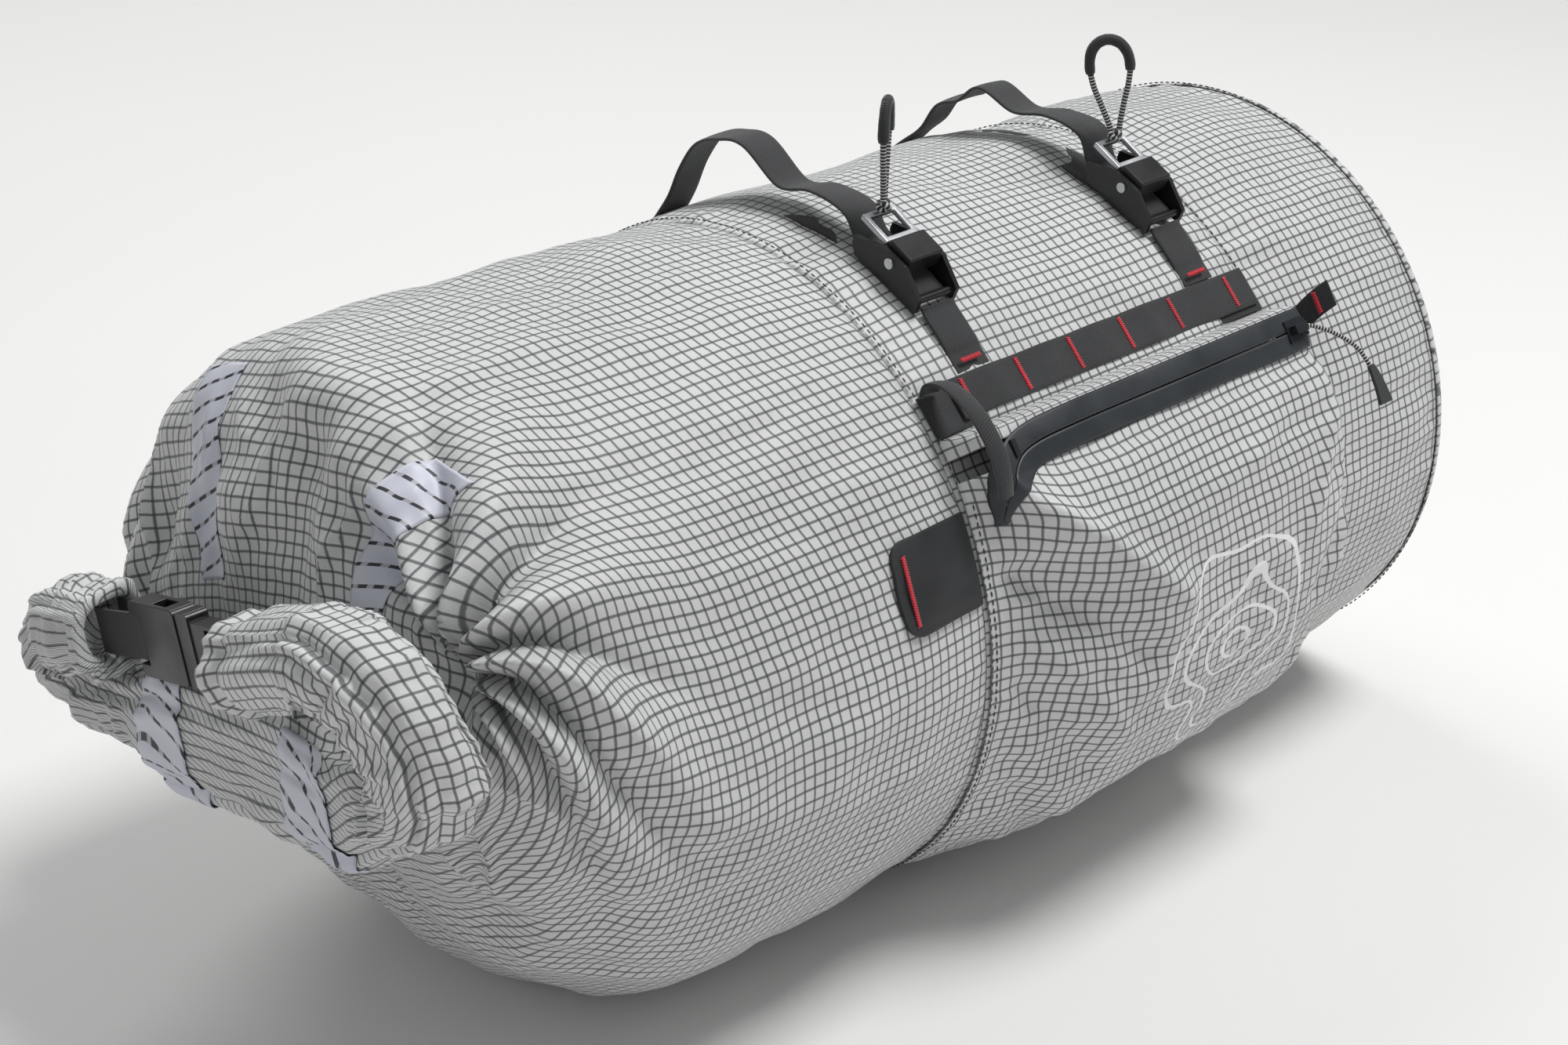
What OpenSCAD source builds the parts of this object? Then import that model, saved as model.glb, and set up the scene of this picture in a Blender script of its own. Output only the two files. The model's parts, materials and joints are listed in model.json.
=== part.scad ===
// Roll-top stuff sack with a zipped front pocket and two cam straps.
// The sack lies on its flattened underside. +X runs from the roll top to the closed end,
// -Y is the pocket side, +Z is up. The origin is the middle of the centre panel's underside.
// A place on the sack is given by x and an angle: 0 faces the pocket side, 90 is the top.

/* [Sack] */
// Radius of the stuffed sack at the roll-end seam
seam_r = 126; // [110:0.5:140]
// Radius lost between the two seams of the centre panel
centre_taper = 4.5; // [0:0.5:8]
// Radius lost between the far seam and the closed end
far_taper = 2.5; // [0:0.5:6]
// Length of the centre panel, seam to seam
centre_len = 176; // [160:1:200]
// Length of the far panel, seam to end disc
far_len = 88; // [60:1:140]
// Length of the roll-end panel, seam to mouth
roll_len = 196; // [170:1:240]
// How far the underside is flattened by its own weight
flat_drop = 7; // [3:0.5:12]
// Thickness of the fabric with its coating
wall = 1; // [0.6:0.1:1.5]
// Width of the tape that seals each seam
seam_tape_w = 16; // [10:1:24]

/* [Roll top] */
// Height of the middle of the roll
roll_mid_h = 46; // [36:1:56]
// Height of the two ends of the roll
roll_end_h = 30; // [28:1:31]
// Thickness of the roll
roll_t = 20; // [19:0.5:22]
// Thickness of the rolled fabric around its hollow core
roll_wall = 4; // [3:0.5:5]
// Tilt of the roll about the long axis
roll_tilt = 15; // [0:1:25]

/* [Side release buckle] */
// Width of the buckle body
buckle_w = 26; // [22:0.5:30]
// Thickness of the buckle body
buckle_t = 9; // [8:0.5:12]
// Length of the female half
female_len = 30; // [26:1:36]
// Travel of the male half until it is free
male_travel = 14; // [8:1:16]
// Width of the webbing that carries the buckle
buckle_web_w = 16; // [12:0.5:17]

/* [Webbing] */
// Width of the straps and of the daisy chain
web_w = 15; // [12:0.5:18]
// Thickness of one layer of webbing
web_t = 1.2; // [0.8:0.1:1.6]
// Distance between the two cam straps
strap_pitch = 120; // [100:1:130]
// Angle of the daisy chain on the sack
daisy_th = 44; // [43:0.5:46]
// Height of the strap loops above the sack
loop_h = 25; // [18:0.5:30]

/* [Cam buckles] */
// Length of the cam buckle frame
cam_len = 32; // [28:1:38]
// Radius of the cam pin
cam_pin_r = 1.25; // [1:0.05:1.6]
// Radial running clearance of the cam on its pin
cam_fit = 0.05; // [0.02:0.01:0.1]
// Angle of the cam buckles on the sack
cam_th = 66; // [64:0.5:68]

/* [Pocket and zip] */
// Height at which the zip runs above the middle of the centre panel
zip_h = 17.25; // [15.25:0.25:22]
// Angle of the zip slit on the sack
zip_th = 34; // [33:0.5:34.5]
// Width of one half of the zip tape
tape_w = 7; // [5:0.5:8]
// Extra fullness of the pocket in front of the zip
pocket_full = 7; // [0:0.5:10]
// Width of the gap that the slider's post runs in
zip_slit = 1.6; // [1.4:0.1:2]

/* [Light patch] */
// Length of the synthetic rubber patch along the sack
patch_len = 38; // [30:1:50]
// Height of the patch around the sack
patch_h = 32; // [26:1:40]

/* [Cords] */
// Diameter of the cam pull cords
cord_d = 2.2; // [1.8:0.1:2.6]
// Diameter of the sleeve on each pull cord
sheath_d = 4; // [3.6:0.1:4.6]
// Diameter of the zip pull cord
zip_cord_d = 1.6; // [1.4:0.1:2]

/* [Hidden] */
$fn = 64;
eps = 0.01;
seat = 0.3;                      // gap between a sewn piece and what it lies on
tack_t = 0.5;                    // height of a bar tack's thread
axis_h = seam_r - flat_drop;     // height of the long axis
x_seam_l = -centre_len / 2;
x_seam_r = centre_len / 2;
x_end = x_seam_r + far_len;
x_mouth = x_seam_l - roll_len;
far_r = seam_r - centre_taper;
end_r = far_r - far_taper;
x_strap_l = 2 - strap_pitch / 2;
x_strap_r = 2 + strap_pitch / 2;
zip_r = seam_r - centre_taper / 2 + zip_h;   // radius of the zip around the long axis
web_a = web_w / 2 / (seam_r - centre_taper / 2 + web_t) * 180 / PI;   // half the webbing, as an angle
daisy_peek = 1;                  // how far the base shows below the daisy webbing, as an angle

// ---------- helpers ----------

// Radius of the sack around its long axis, at x, from the roll-end seam to the closed end
function bag_r(x) = lookup(x, [[x_seam_l, seam_r], [x_seam_r, far_r], [x_end, end_r]]);
// Smooth step from 0 to 1
function ease(t) = let(c = max(0, min(1, t))) c * c * (3 - 2 * c);
// A point at x, angle th and radius r around the long axis
function on_sack(x, th, r) = [x, -r * cos(th), axis_h + r * sin(th)];
// A Catmull-Rom curve through the points, with n steps for each span
function smooth(p, n) = [for (i = [0:len(p) - 2], k = [0:n - 1])
    let(t = k / n, a = p[max(i - 1, 0)], b = p[i], c = p[i + 1], d = p[min(i + 2, len(p) - 1)])
    0.5 * (2 * b + (c - a) * t + (2 * a - 5 * b + 4 * c - d) * t * t + (3 * b - a - 3 * c + d) * t * t * t),
    p[len(p) - 1]];
function unit(v) = v / norm(v);
// Direction of a path at point i
function dir(p, i) = unit(p[min(i + 1, len(p) - 1)] - p[max(i - 1, 0)]);
// Outline of a flat ribbon of thickness t that follows a path in two dimensions
function ribbon(p, t) = concat(
    [for (i = [0:len(p) - 1]) p[i] + t / 2 * [-dir(p, i)[1], dir(p, i)[0]]],
    [for (i = [len(p) - 1:-1:0]) p[i] - t / 2 * [-dir(p, i)[1], dir(p, i)[0]]]);

// A closed sheet between an outer and an inner grid of points, (nu + 1) by (nv + 1) each
module sheet(outer, inner, nu, nv) {
    m = (nu + 1) * (nv + 1);
    function id(u, v) = u * (nv + 1) + v;
    faces = concat(
        [for (u = [0:nu - 1], v = [0:nv - 1]) [id(u, v), id(u, v + 1), id(u + 1, v + 1), id(u + 1, v)]],
        [for (u = [0:nu - 1], v = [0:nv - 1])
            [m + id(u, v), m + id(u + 1, v), m + id(u + 1, v + 1), m + id(u, v + 1)]],
        [for (u = [0:nu - 1]) [id(u, 0), id(u + 1, 0), m + id(u + 1, 0), m + id(u, 0)]],
        [for (u = [0:nu - 1]) [id(u, nv), m + id(u, nv), m + id(u + 1, nv), id(u + 1, nv)]],
        [for (v = [0:nv - 1]) [id(0, v), m + id(0, v), m + id(0, v + 1), id(0, v + 1)]],
        [for (v = [0:nv - 1]) [id(nu, v), id(nu, v + 1), m + id(nu, v + 1), m + id(nu, v)]]);
    polyhedron(concat(outer, inner), [for (f = faces, k = [1, 2]) [f[0], f[k], f[k + 1]]]);
}

// A solid through rings of points that turn right-handed about the way they follow each other
module loft(rings) {
    n = len(rings[0]);
    last = len(rings) - 1;
    faces = concat(
        [for (i = [0:last - 1], j = [0:n - 1], k = [2, 3])
            let(q = [i * n + j, i * n + (j + 1) % n, (i + 1) * n + (j + 1) % n, (i + 1) * n + j])
            [q[0], q[k], q[k - 1]]],
        [[for (j = [0:n - 1]) j]], [[for (j = [n - 1:-1:0]) last * n + j]]);
    polyhedron([for (r = rings, p = r) p], faces);
}

// A sewn sheet on the sack, from x0 to x1 and th0 to th1, between two heights above it
module on_bag(x0, x1, th0, th1, h0, h1, nu = 1, nv = 8) {
    grid = [for (u = [0:nu], v = [0:nv]) [x0 + (x1 - x0) * u / nu, th0 + (th1 - th0) * v / nv]];
    sheet([for (g = grid) on_sack(g[0], g[1], bag_r(g[0]) + h1)],
        [for (g = grid) on_sack(g[0], g[1], bag_r(g[0]) + h0)], nu, nv);
}

// Moves children from a flat bench onto the sack: +Y runs around it, +Z stands off it
module at_sack(x, th, h = 0) {
    translate([x, 0, axis_h]) rotate([90 - th, 0, 0]) translate([0, 0, bag_r(x) + h]) children();
}

// A round cord that follows a flat loop of points, with n_hat the normal of the loop's plane
module cord(points, d, n_hat, sides = 8) {
    loft([for (i = [0:len(points) - 1])
        let(side = unit(cross(dir(points, i), n_hat)))
        [for (k = [0:sides - 1]) let(f = 360 * k / sides)
            points[i] + d / 2 * (cos(f) * n_hat + sin(f) * side)]]);
}

// Half-space above a height, wide enough for the whole sack
module above(h) {
    translate([x_mouth - 50, -300, h]) cube([x_end - x_mouth + 100, 600, 600]);
}

// A turned solid about the long axis, from a profile of [radius, x]
module turned(profile) {
    translate([0, 0, axis_h]) rotate([0, 90, 0]) rotate_extrude($fn = 96) polygon(profile);
}

// ---------- sack ----------

// Stations of the roll-end panel: x from the mouth, half width, top and bottom above the axis, shift in y,
// and share of the roll's tilt. The first ones fit the roll.
at_roll = [[0, 92, 30, -12, -8, 1], [3, 100, 56, -20, -7, 0.9], [6, 106, 76, -30, -6, 0.8]];
// Behind them, how far the side, top and underside are drawn in from the seam's radius
drawn_in = [[14, 12, 28, 80, -5, 0.65], [24, 5, 13, 64, -3, 0.45], [36, -1, 5, 46, -1, 0.25],
    [56, -4, 1, 24, 0, 0.1], [84, -4, 0, 7, 0, 0], [130, -2, 0, 2, 0, 0]];
stations = concat(at_roll,
    [for (s = drawn_in) [s[0], seam_r - s[1], seam_r - s[2], s[3] - seam_r, s[4], s[5]]]);
sides = 72;
// A point of a station's ring at ring angle f, drawn in by d
function station_point(s, f, d) = let(t = -roll_tilt * s[5], y = (s[1] - d) * cos(f),
    z = ((s[2] - s[3]) / 2 - d) * sin(f))
    [x_mouth + s[0], s[4] + y * cos(t) - z * sin(t),
        max(d, axis_h + (s[2] + s[3]) / 2 + y * sin(t) + z * cos(t))];
function station_ring(s, d) = [for (j = [0:sides - 1]) station_point(s, 360 * j / sides, d)];
function seam_ring(x, d) = [for (j = [0:sides - 1]) let(f = 360 * j / sides)
    [x, (seam_r - d) * cos(f), max(d, axis_h + (seam_r - d) * sin(f))]];

module roll_end_panel() {
    color("gainsboro") difference() {
        loft(concat([for (s = stations) station_ring(s, 0)], [seam_ring(x_seam_l, 0)]));
        loft(concat([[for (p = station_ring(stations[0], wall)) p - [1, 0, 0]]],
            [for (s = stations) station_ring(s, wall)], [seam_ring(x_seam_l + 1, wall)]));
    }
}

module centre_panel() {
    color("whitesmoke") difference() {
        intersection() {
            turned([[0, x_seam_l], [seam_r, x_seam_l], [far_r, x_seam_r], [0, x_seam_r]]);
            above(0);
        }
        intersection() {
            turned([[0, x_seam_l - 1], [seam_r - wall, x_seam_l - 1], [far_r - wall, x_seam_r + 1],
                [0, x_seam_r + 1]]);
            above(wall);
        }
    }
}

module far_panel() {
    color("gainsboro") difference() {
        intersection() {
            turned([[0, x_seam_r], [far_r, x_seam_r], [end_r, x_end], [0, x_end]]);
            above(0);
        }
        intersection() {
            turned([[0, x_seam_r - 1], [far_r - wall, x_seam_r - 1], [end_r - wall, x_end + 1],
                [0, x_end + 1]]);
            above(wall);
        }
    }
}

end_round = 9;       // rounding between the far panel and the flat of the end disc
end_dome = 3;        // crown of the end disc
function dome_profile(d) = concat([[0, x_end]], [for (a = [0:15:90])
    [end_r - end_round + (end_round - d) * cos(a), x_end + (end_round - d) * sin(a)]],
    [[end_r / 2, x_end + end_round - d + end_dome * 0.75], [0, x_end + end_round - d + end_dome]]);
module end_disc() {
    color("lightgray") difference() {
        intersection() {
            turned(dome_profile(0));
            above(0);
        }
        intersection() {
            turned([for (p = dome_profile(wall)) p[1] == x_end ? [p[0], x_end - 1] : p]);
            above(wall);
        }
    }
}

// Tape inside a seam, sealing it
module seam_tape(x) {
    tape_r = bag_r(x + seam_tape_w / 2) - wall - 2 * seat;
    color("darkgray") intersection() {
        translate([0, 0, axis_h]) rotate([0, 90, 0]) difference() {
            translate([0, 0, x - seam_tape_w / 2]) cylinder(h = seam_tape_w, r = tape_r);
            translate([0, 0, x - seam_tape_w / 2 - 1]) cylinder(h = seam_tape_w + 2, r = tape_r - 0.5);
        }
        above(wall + 3);
    }
}

// ---------- roll top ----------

x_roll = x_mouth - seat - roll_t / 2;
roll_y = -8;
roll_z = 25;
bend_male = [-79, 25];           // centre and radius of the U-turn at the male half's end
bend_female = [86, 17];          // and at the female half's end
tube_z = 21;                     // height of the two turned-back ends
tube_off = 14;                   // how far they stand in front of the roll
// Path of the rolled mouth in its own plane: y, z, and how far it stands off the sack
function bend_at(b, side, a) = [b[0] + side * b[1] * cos(a), tube_z - b[1] + b[1] * sin(a),
    tube_off * ease((a + 90) / 180)];
roll_path = concat([[-10, tube_z, tube_off], [-50, tube_z, tube_off]],
    [for (a = [90:-20:-90]) bend_at(bend_male, -1, a)],
    [[-52, -25, 0], [-25, -20, 0], [5, -17, 0], [35, -15, 0], [62, -13.5, 0]],
    [for (a = [-90:20:90]) bend_at(bend_female, 1, a)], [[60, tube_z, tube_off]]);
// Height of the roll at a point of the path
function roll_h(p) = roll_end_h
    + (roll_mid_h - roll_end_h) * ease((75 - abs(p[0])) / 35) * ease((-5 - p[1]) / 6);
function roll_ring(i, inset, n = 16) = let(p = roll_path[i], d = dir([for (q = roll_path) [q[0], q[1]]], i),
    h = roll_h(p) / 2 - inset, t = roll_t / 2 - inset)
    [for (k = [0:n - 1]) let(f = 360 * k / n, c = cos(f), s = sin(f),
        u = h * sign(c) * pow(abs(c), 0.6), v = t * sign(s) * pow(abs(s), 0.6))
        [-p[2] + v, p[0] - d[1] * u, p[1] + d[0] * u]];
module in_roll() {
    translate([x_roll, roll_y, axis_h + roll_z]) rotate([-roll_tilt, 0, 0]) children();
}

module roll_top() {
    last = len(roll_path) - 1;
    rings = [for (i = [0:last]) roll_ring(i, roll_wall)];
    shift = [0, 2, 0];
    color("gainsboro") in_roll() difference() {
        loft([for (i = [0:last]) roll_ring(i, 0)]);
        loft(concat([[for (p = rings[0]) p + shift]], rings, [[for (p = rings[last]) p - shift]]));
    }
}

// Stiff strip sewn into the mouth, which the fabric rolls around
stiff_t = 1.2;
stiff_h = 22;
module mouth_stiffener() {
    path = [for (p = roll_path) if (abs(p[0]) < 50 && p[1] < 0) p];
    ribbon_x = roll_t / 2 - roll_wall - 2 * seat - stiff_t / 2;
    function edge(p, i, u, v) = let(d = dir([for (q = path) [q[0], q[1]]], i))
        [-p[2] + ribbon_x + v, p[0] - d[1] * u, p[1] + d[0] * u];
    color("dimgray") in_roll() loft([for (i = [0:len(path) - 1]) let(h = stiff_h / 2)
        [edge(path[i], i, h, -stiff_t / 2), edge(path[i], i, h, stiff_t / 2),
            edge(path[i], i, -h, stiff_t / 2), edge(path[i], i, -h, -stiff_t / 2)]]);
}

// ---------- side release buckle ----------

// The buckle bridges the two ends of the roll. +Y runs from the male half to the female half.
female_y0 = 15;
bar_half = 1.2;                         // half the thickness of a webbing bar
fold_r = bar_half * sqrt(2) + 0.1 + web_t / 2;
slot_w = buckle_web_w + 1;
// Slot and thinned end that leave a bar in a buckle half; way points from the bar to the end
module webbing_bar(bar_y, way) {
    slot_l = web_t + 1.4;
    slot_y = bar_y - way * (bar_half + slot_l / 2);
    translate([-buckle_t, slot_y - slot_l / 2, -slot_w / 2]) cube([2 * buckle_t, slot_l, slot_w]);
    thin_y = bar_y - 4 + way * (4 - bar_half);
    for (s = [-1, 1])
        translate([s * (buckle_t / 2 + bar_half) - buckle_t / 2, thin_y, -slot_w / 2])
            cube([buckle_t, 8, slot_w]);
}
module in_buckle() {
    in_roll() translate([-tube_off, 0, tube_z]) children();
}
// Body with rounded edges, in the plane of the roll, between two places along it
module pad(y0, y1, w, t, r = 2) {
    translate([-t / 2, y0, 0]) rotate([0, 90, 0]) linear_extrude(t)
        offset(r) translate([-w / 2 + r, r]) square([w - 2 * r, y1 - y0 - 2 * r]);
}
female_bar_y = female_y0 + female_len - 2.4;
cavity_w = buckle_w - 5;
cavity_t = buckle_t - 4;
module buckle_female() {
    color("#1c1c1e") in_buckle() difference() {
        pad(female_y0, female_y0 + female_len, buckle_w, buckle_t);
        // socket that takes the male half
        translate([-cavity_t / 2, female_y0 - 1, -cavity_w / 2]) cube([cavity_t, female_len - 8, cavity_w]);
        // side windows for the squeeze pads
        translate([-cavity_t / 2, female_y0 + 7, -buckle_w]) cube([cavity_t, 9, 2 * buckle_w]);
        webbing_bar(female_bar_y, 1);
    }
}
male_len = 23;
male_y0 = female_y0 - male_len;
male_base_w = buckle_web_w + 4;
male_base_t = 7;
male_bar_y = male_y0 + 2.2;
guide_gap = 0.3;
prong_y = female_y0 + 3;                 // hinge of the two squeeze prongs
prong_z = cavity_w / 2 - 3.4;
module buckle_male() {
    color("#1c1c1e") in_buckle() union() {
        difference() {
            pad(male_y0, female_y0 - 0.4, male_base_w, male_base_t, 1.5);
            webbing_bar(male_bar_y, -1);
        }
        // collar that meets the mouth of the female half
        pad(female_y0 - 8, female_y0 - 0.4, buckle_w - 0.6, buckle_t - 1, 2);
        // tongue and guide inside the socket
        translate([-cavity_t / 2 + guide_gap, female_y0 - 1, -2.2])
            cube([cavity_t - 2 * guide_gap, male_travel + 5, 4.4]);
        translate([-cavity_t / 2 + guide_gap, female_y0 - 1, -cavity_w / 2 + guide_gap])
            cube([cavity_t - 2 * guide_gap, 2.6, cavity_w - 2 * guide_gap]);
    }
}
module prong(side) {
    prong_t = cavity_t - 2 * guide_gap;
    color("#242426") in_buckle() translate([-prong_t / 2, 0, 0]) union() {
        translate([0, prong_y, side * prong_z]) rotate([0, 90, 0]) cylinder(h = prong_t, r = 1.2, $fn = 32);
        translate([0, prong_y, side * prong_z - 1]) cube([prong_t, 9, 2]);
        translate([0, prong_y + 5, side * (cavity_w / 2 - 0.1 - 1.5) - 1.5]) cube([prong_t, 7.5, 3]);
    }
}
// Webbing folded over a bar, with its two layers running into the roll and spread there
module folded_web(bar_y, way, tail, spread) {
    half = [[spread, tail], [spread, tail / 2], [fold_r, 4]];
    route = concat(half, [for (a = [0:-22.5:-180]) fold_r * [cos(a), sin(a)]],
        [for (i = [2:-1:0]) [-half[i][0], half[i][1]]]);
    color("#202123") in_buckle() translate([0, bar_y, -buckle_web_w / 2]) linear_extrude(buckle_web_w)
        polygon(ribbon([for (q = route) [q[0], way * q[1]]], web_t));
}
module buckle_web_female() { folded_web(female_bar_y, 1, 34, roll_t / 2 - roll_wall - 1.7); }
module buckle_web_male() { folded_web(male_bar_y, -1, 16, fold_r); }

// ---------- reflective strips ----------

// Film on the roll-end panel between two ring angles, from the mouth to the ridge
module reflective_strip(f0, f1) {
    n = 4;
    used = [for (k = [1:5]) stations[k]];
    function at(s, f, d) = station_point(s, f, -d) - [d / 2, 0, 0];
    color("#b9b9cc") sheet([for (s = used, v = [0:n]) at(s, f1 + (f0 - f1) * v / n, 1.4)],
        [for (s = used, v = [0:n]) at(s, f1 + (f0 - f1) * v / n, 0.6)], len(used) - 1, n);
}

// ---------- pocket and zip ----------

x_pocket_l = x_seam_l + 1;
x_pocket_r = x_seam_r + 1;
pocket_seat = 0.8;                            // gap below the pocket's sewn edges
slit_a = zip_slit / 2 / zip_r * 180 / PI;     // half the slit, as an angle
tape_a = tape_w / zip_r * 180 / PI;           // one half of the tape, as an angle
hem_a = 1.6;                                  // how far the tape laps over the fabric, as an angle
zip_lo = zip_th - slit_a - tape_a;            // outer edges of the zip tape
zip_hi = zip_th + slit_a + tape_a;
strip_top = daisy_th - web_a - daisy_peek - 0.3;
// Height of the pocket above the sack by angle, before its ends are drawn in
function pocket_crown(th, r) = lookup(th, [[-66, pocket_seat], [-60, 3], [-46, 10], [-30, 11 + pocket_full],
    [-15, 17 + pocket_full], [5, 21 + pocket_full], [20, 20 + pocket_full], [zip_lo - 3, zip_r - r + 3],
    [zip_lo - 0.3, zip_r - r], [zip_hi + 0.3, zip_r - r], [strip_top, pocket_seat]]);
// Width over which the roll-end side of the pocket rises
function rise_l(th) = lookup(th, [[-60, 30], [-46, 45], [-10, 65], [10, 60], [20, 34], [zip_th - 4, 12],
    [zip_th + 6, 12]]);
function rise_r(th) = lookup(th, [[-60, 30], [-20, 16], [zip_th, 9]]);
function pocket_h(x, th) = pocket_seat + (pocket_crown(th, bag_r(x)) - pocket_seat)
    * ease((x - x_pocket_l + 1) / rise_l(th)) * ease((x_pocket_r + 2 - x) / rise_r(th));
// Places along the pocket, closer together where its two ends rise
pocket_x = concat([for (d = [0, 3, 6, 9, 12, 17, 27, 39, 51, 63]) x_pocket_l + d],
    [for (k = [1, 2]) x_pocket_l + 63 + (x_pocket_r - x_pocket_l - 122) * k / 3],
    [for (d = [59, 39, 23, 13, 9, 6, 3, 0]) x_pocket_r - d]);
// A sheet that follows the pocket
module on_pocket(xs, ths, h0, h1) {
    sheet([for (x = xs, th = ths) on_sack(x, th, bag_r(x) + pocket_h(x, th) + h1)],
        [for (x = xs, th = ths) on_sack(x, th, bag_r(x) + max(seat, pocket_h(x, th) + h0))],
        len(xs) - 1, len(ths) - 1);
}
module pocket_front() {
    ths = concat([-66, -60, -53], [for (a = [-46:6:20]) a],
        [24, zip_lo - 3, zip_lo - 0.3, zip_lo + hem_a]);
    color("whitesmoke") on_pocket(pocket_x, ths, -wall, 0);
}
module pocket_top_strip() {
    ths = [zip_hi - hem_a, zip_hi + 0.3, (zip_hi + strip_top) / 2 + 0.15, strip_top];
    color("whitesmoke") on_pocket(pocket_x, ths, -wall, 0);
}
zip_x = [for (x = pocket_x) if (x > x_pocket_l + 2 && x < x_pocket_r - 5) x];
x_zip_r = x_pocket_r - 6;
module zip_tape(side) {
    inner = zip_th + side * slit_a;
    outer = zip_th + side * (slit_a + tape_a);
    color("#26292c") on_pocket(zip_x, side > 0 ? [inner, outer] : [outer, inner], seat, seat + wall);
}
coil_h = 1.4;
coil_w = 2;
x_coil_l = x_pocket_l + 15;
module zip_coil() {
    // two rows of teeth under the tapes, parted by the slit
    color("#1b1d1f") for (s = [-1, 1])
        translate([0, 0, axis_h]) rotate([90 - zip_th, 0, 0])
            translate([x_coil_l, s * (zip_slit / 2 + coil_w / 2) - coil_w / 2, zip_r - coil_h - seat])
                cube([x_zip_r - x_coil_l - 2, coil_w, coil_h]);
}
module on_zip(x) {
    translate([x, 0, axis_h]) rotate([90 - zip_th, 0, 0]) translate([0, 0, zip_r + seat + wall]) children();
}
module zip_stop(x) {
    color("#2b2d30") on_zip(x) translate([-1, -3.2, 0]) cube([2, 6.4, 1.1]);
}
slider_l = 9;
slider_w = 8.4;
x_slider = x_zip_r - 7.5;
lift = 0.3;                                   // slider above the tape
eye_h = lift + 3.1;                           // middle of the eye in the slider's bridge
module zip_slider() {
    color("#2e3033") on_zip(x_slider) union() {
        translate([-slider_l / 2, -slider_w / 2, lift]) cube([slider_l, slider_w, 1.6]);
        // post through the slit, and the lower plate under the teeth
        translate([slider_l / 2 - 3, -0.5, -wall - seat - coil_h - 0.8])
            cube([2.4, 1, wall + seat + coil_h + 2]);
        translate([-slider_l / 2, -3.4, -wall - 2 * seat - coil_h - 1.6]) cube([slider_l, 6.8, 1.2]);
        // bridge with the eye that the pull cord turns in
        difference() {
            translate([-3.2, -1.7, lift + 1.5]) cube([6.4, 3.4, 3.4]);
            translate([-4, 0, eye_h]) rotate([0, 90, 0]) cylinder(h = 8, r = zip_cord_d / 2 + 0.3, $fn = 32);
        }
    }
}
// Pull cord through the slider's eye, lying beside the pocket's end, clear of the pocket when the zip opens
pull_end = [21, -22, 9.4];
pull_route = [[-2.6, 0, eye_h], [0, 0, eye_h], [3.6, 0, eye_h], [6, -0.8, 4], [8.6, -2.6, 5], [12, -5.6, 6.4],
    [16, -10, 7.8], [19.4, -15.4, 8.9], pull_end];
function zip_place(p) = let(r = zip_r + seat + wall + p[2], c = cos(zip_th), s = sin(zip_th))
    [x_slider + p[0], -r * c + p[1] * s, axis_h + r * s + p[1] * c];
module zip_pull_cord() {
    pts = smooth([for (p = pull_route) zip_place(p)], 3);
    color("#17181a") cord(pts, zip_cord_d, unit(zip_place([0, 0, 1]) - zip_place([0, 0, 0])));
}
module zip_pull_tab() {
    color("#17181a") on_zip(x_slider) translate(pull_end - [0, seat, zip_cord_d / 2])
        linear_extrude(zip_cord_d) polygon([[-1.4, 0], [1.4, 0], [3.4, -15], [-3.4, -15]]);
}
// Webbing tab that stands up at the slider's end of the zip
module zip_tab_right() {
    p = [[-2, 0], [1, 1], [5, 4], [8, 9], [10, 16]];
    color("#202123") translate([x_pocket_r + seat, 0, axis_h]) rotate([90, 0, 90]) linear_extrude(web_w - 5)
        polygon(ribbon(smooth([for (q = p) let(th = zip_th + q[0] / 2.2, r = bag_r(x_seam_r) + q[1] + 1.2)
            [-r * cos(th), r * sin(th)]], 4), web_t));
}
// Folded webbing tab from the daisy chain down to the left end of the zip
module zip_tab_left() {
    top_h = zip_r - seam_r + 3.8;
    base_a = daisy_th + web_a - daisy_peek;
    p = [[base_a - 0.4, 1.5], [base_a + 0.6, 7], [daisy_th, top_h - 3.8], [daisy_th - 5, top_h - 0.4],
        [zip_th, top_h], [zip_lo - 1, top_h]];
    w = 8;
    color("#202123") translate([x_seam_l + 3, 0, axis_h]) rotate([90, 0, 90]) linear_extrude(w)
        polygon(ribbon(smooth([for (q = p) let(r = bag_r(x_seam_l) + q[1] + 1)
            [-r * cos(q[0]), r * sin(q[0])]], 4), web_t));
}

// ---------- daisy chain, tacks and patch ----------

daisy_x0 = x_seam_l + 15;
daisy_x1 = x_seam_r - 3;
tack_pitch = 27.25;
tack_x = [for (k = [0:4]) daisy_x0 + 6 + tack_pitch * k, daisy_x1 - 11];
module daisy_base() {
    color("#1d1e20") on_bag(x_seam_l + 1, x_seam_r - 1, daisy_th - web_a - daisy_peek,
        daisy_th + web_a - daisy_peek, seat, seat + web_t);
}
module daisy_webbing() {
    color("#232427") on_bag(daisy_x0, daisy_x1, daisy_th - web_a, daisy_th + web_a,
        2 * seat + web_t, 2 * seat + 2 * web_t);
}
tack_base = 2 * seat + 2 * web_t + 0.1;
module bar_tacks() {
    color("#c8142c") {
        for (x = tack_x)
            on_bag(x - 0.7, x + 0.7, daisy_th - web_a * 0.75, daisy_th + web_a * 0.75,
                tack_base, tack_base + tack_t);
        for (x = [x_strap_l, x_strap_r])
            on_bag(x - 6, x + 4, root_th + 1.2, root_th + 1.9, root_top + 0.4, root_top + 0.4 + tack_t, 2, 1);
        patch_sheet([x_patch - patch_len + 4, x_patch - patch_len + 5.4], 0.7, 0.7,
            patch_t + 0.1, patch_t + 0.1 + tack_t);
    }
}
x_patch = x_seam_l - 1;
patch_t = 1.6;
patch_th = 21;
patch_a = patch_h / 2 / seam_r * 180 / PI;
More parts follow.
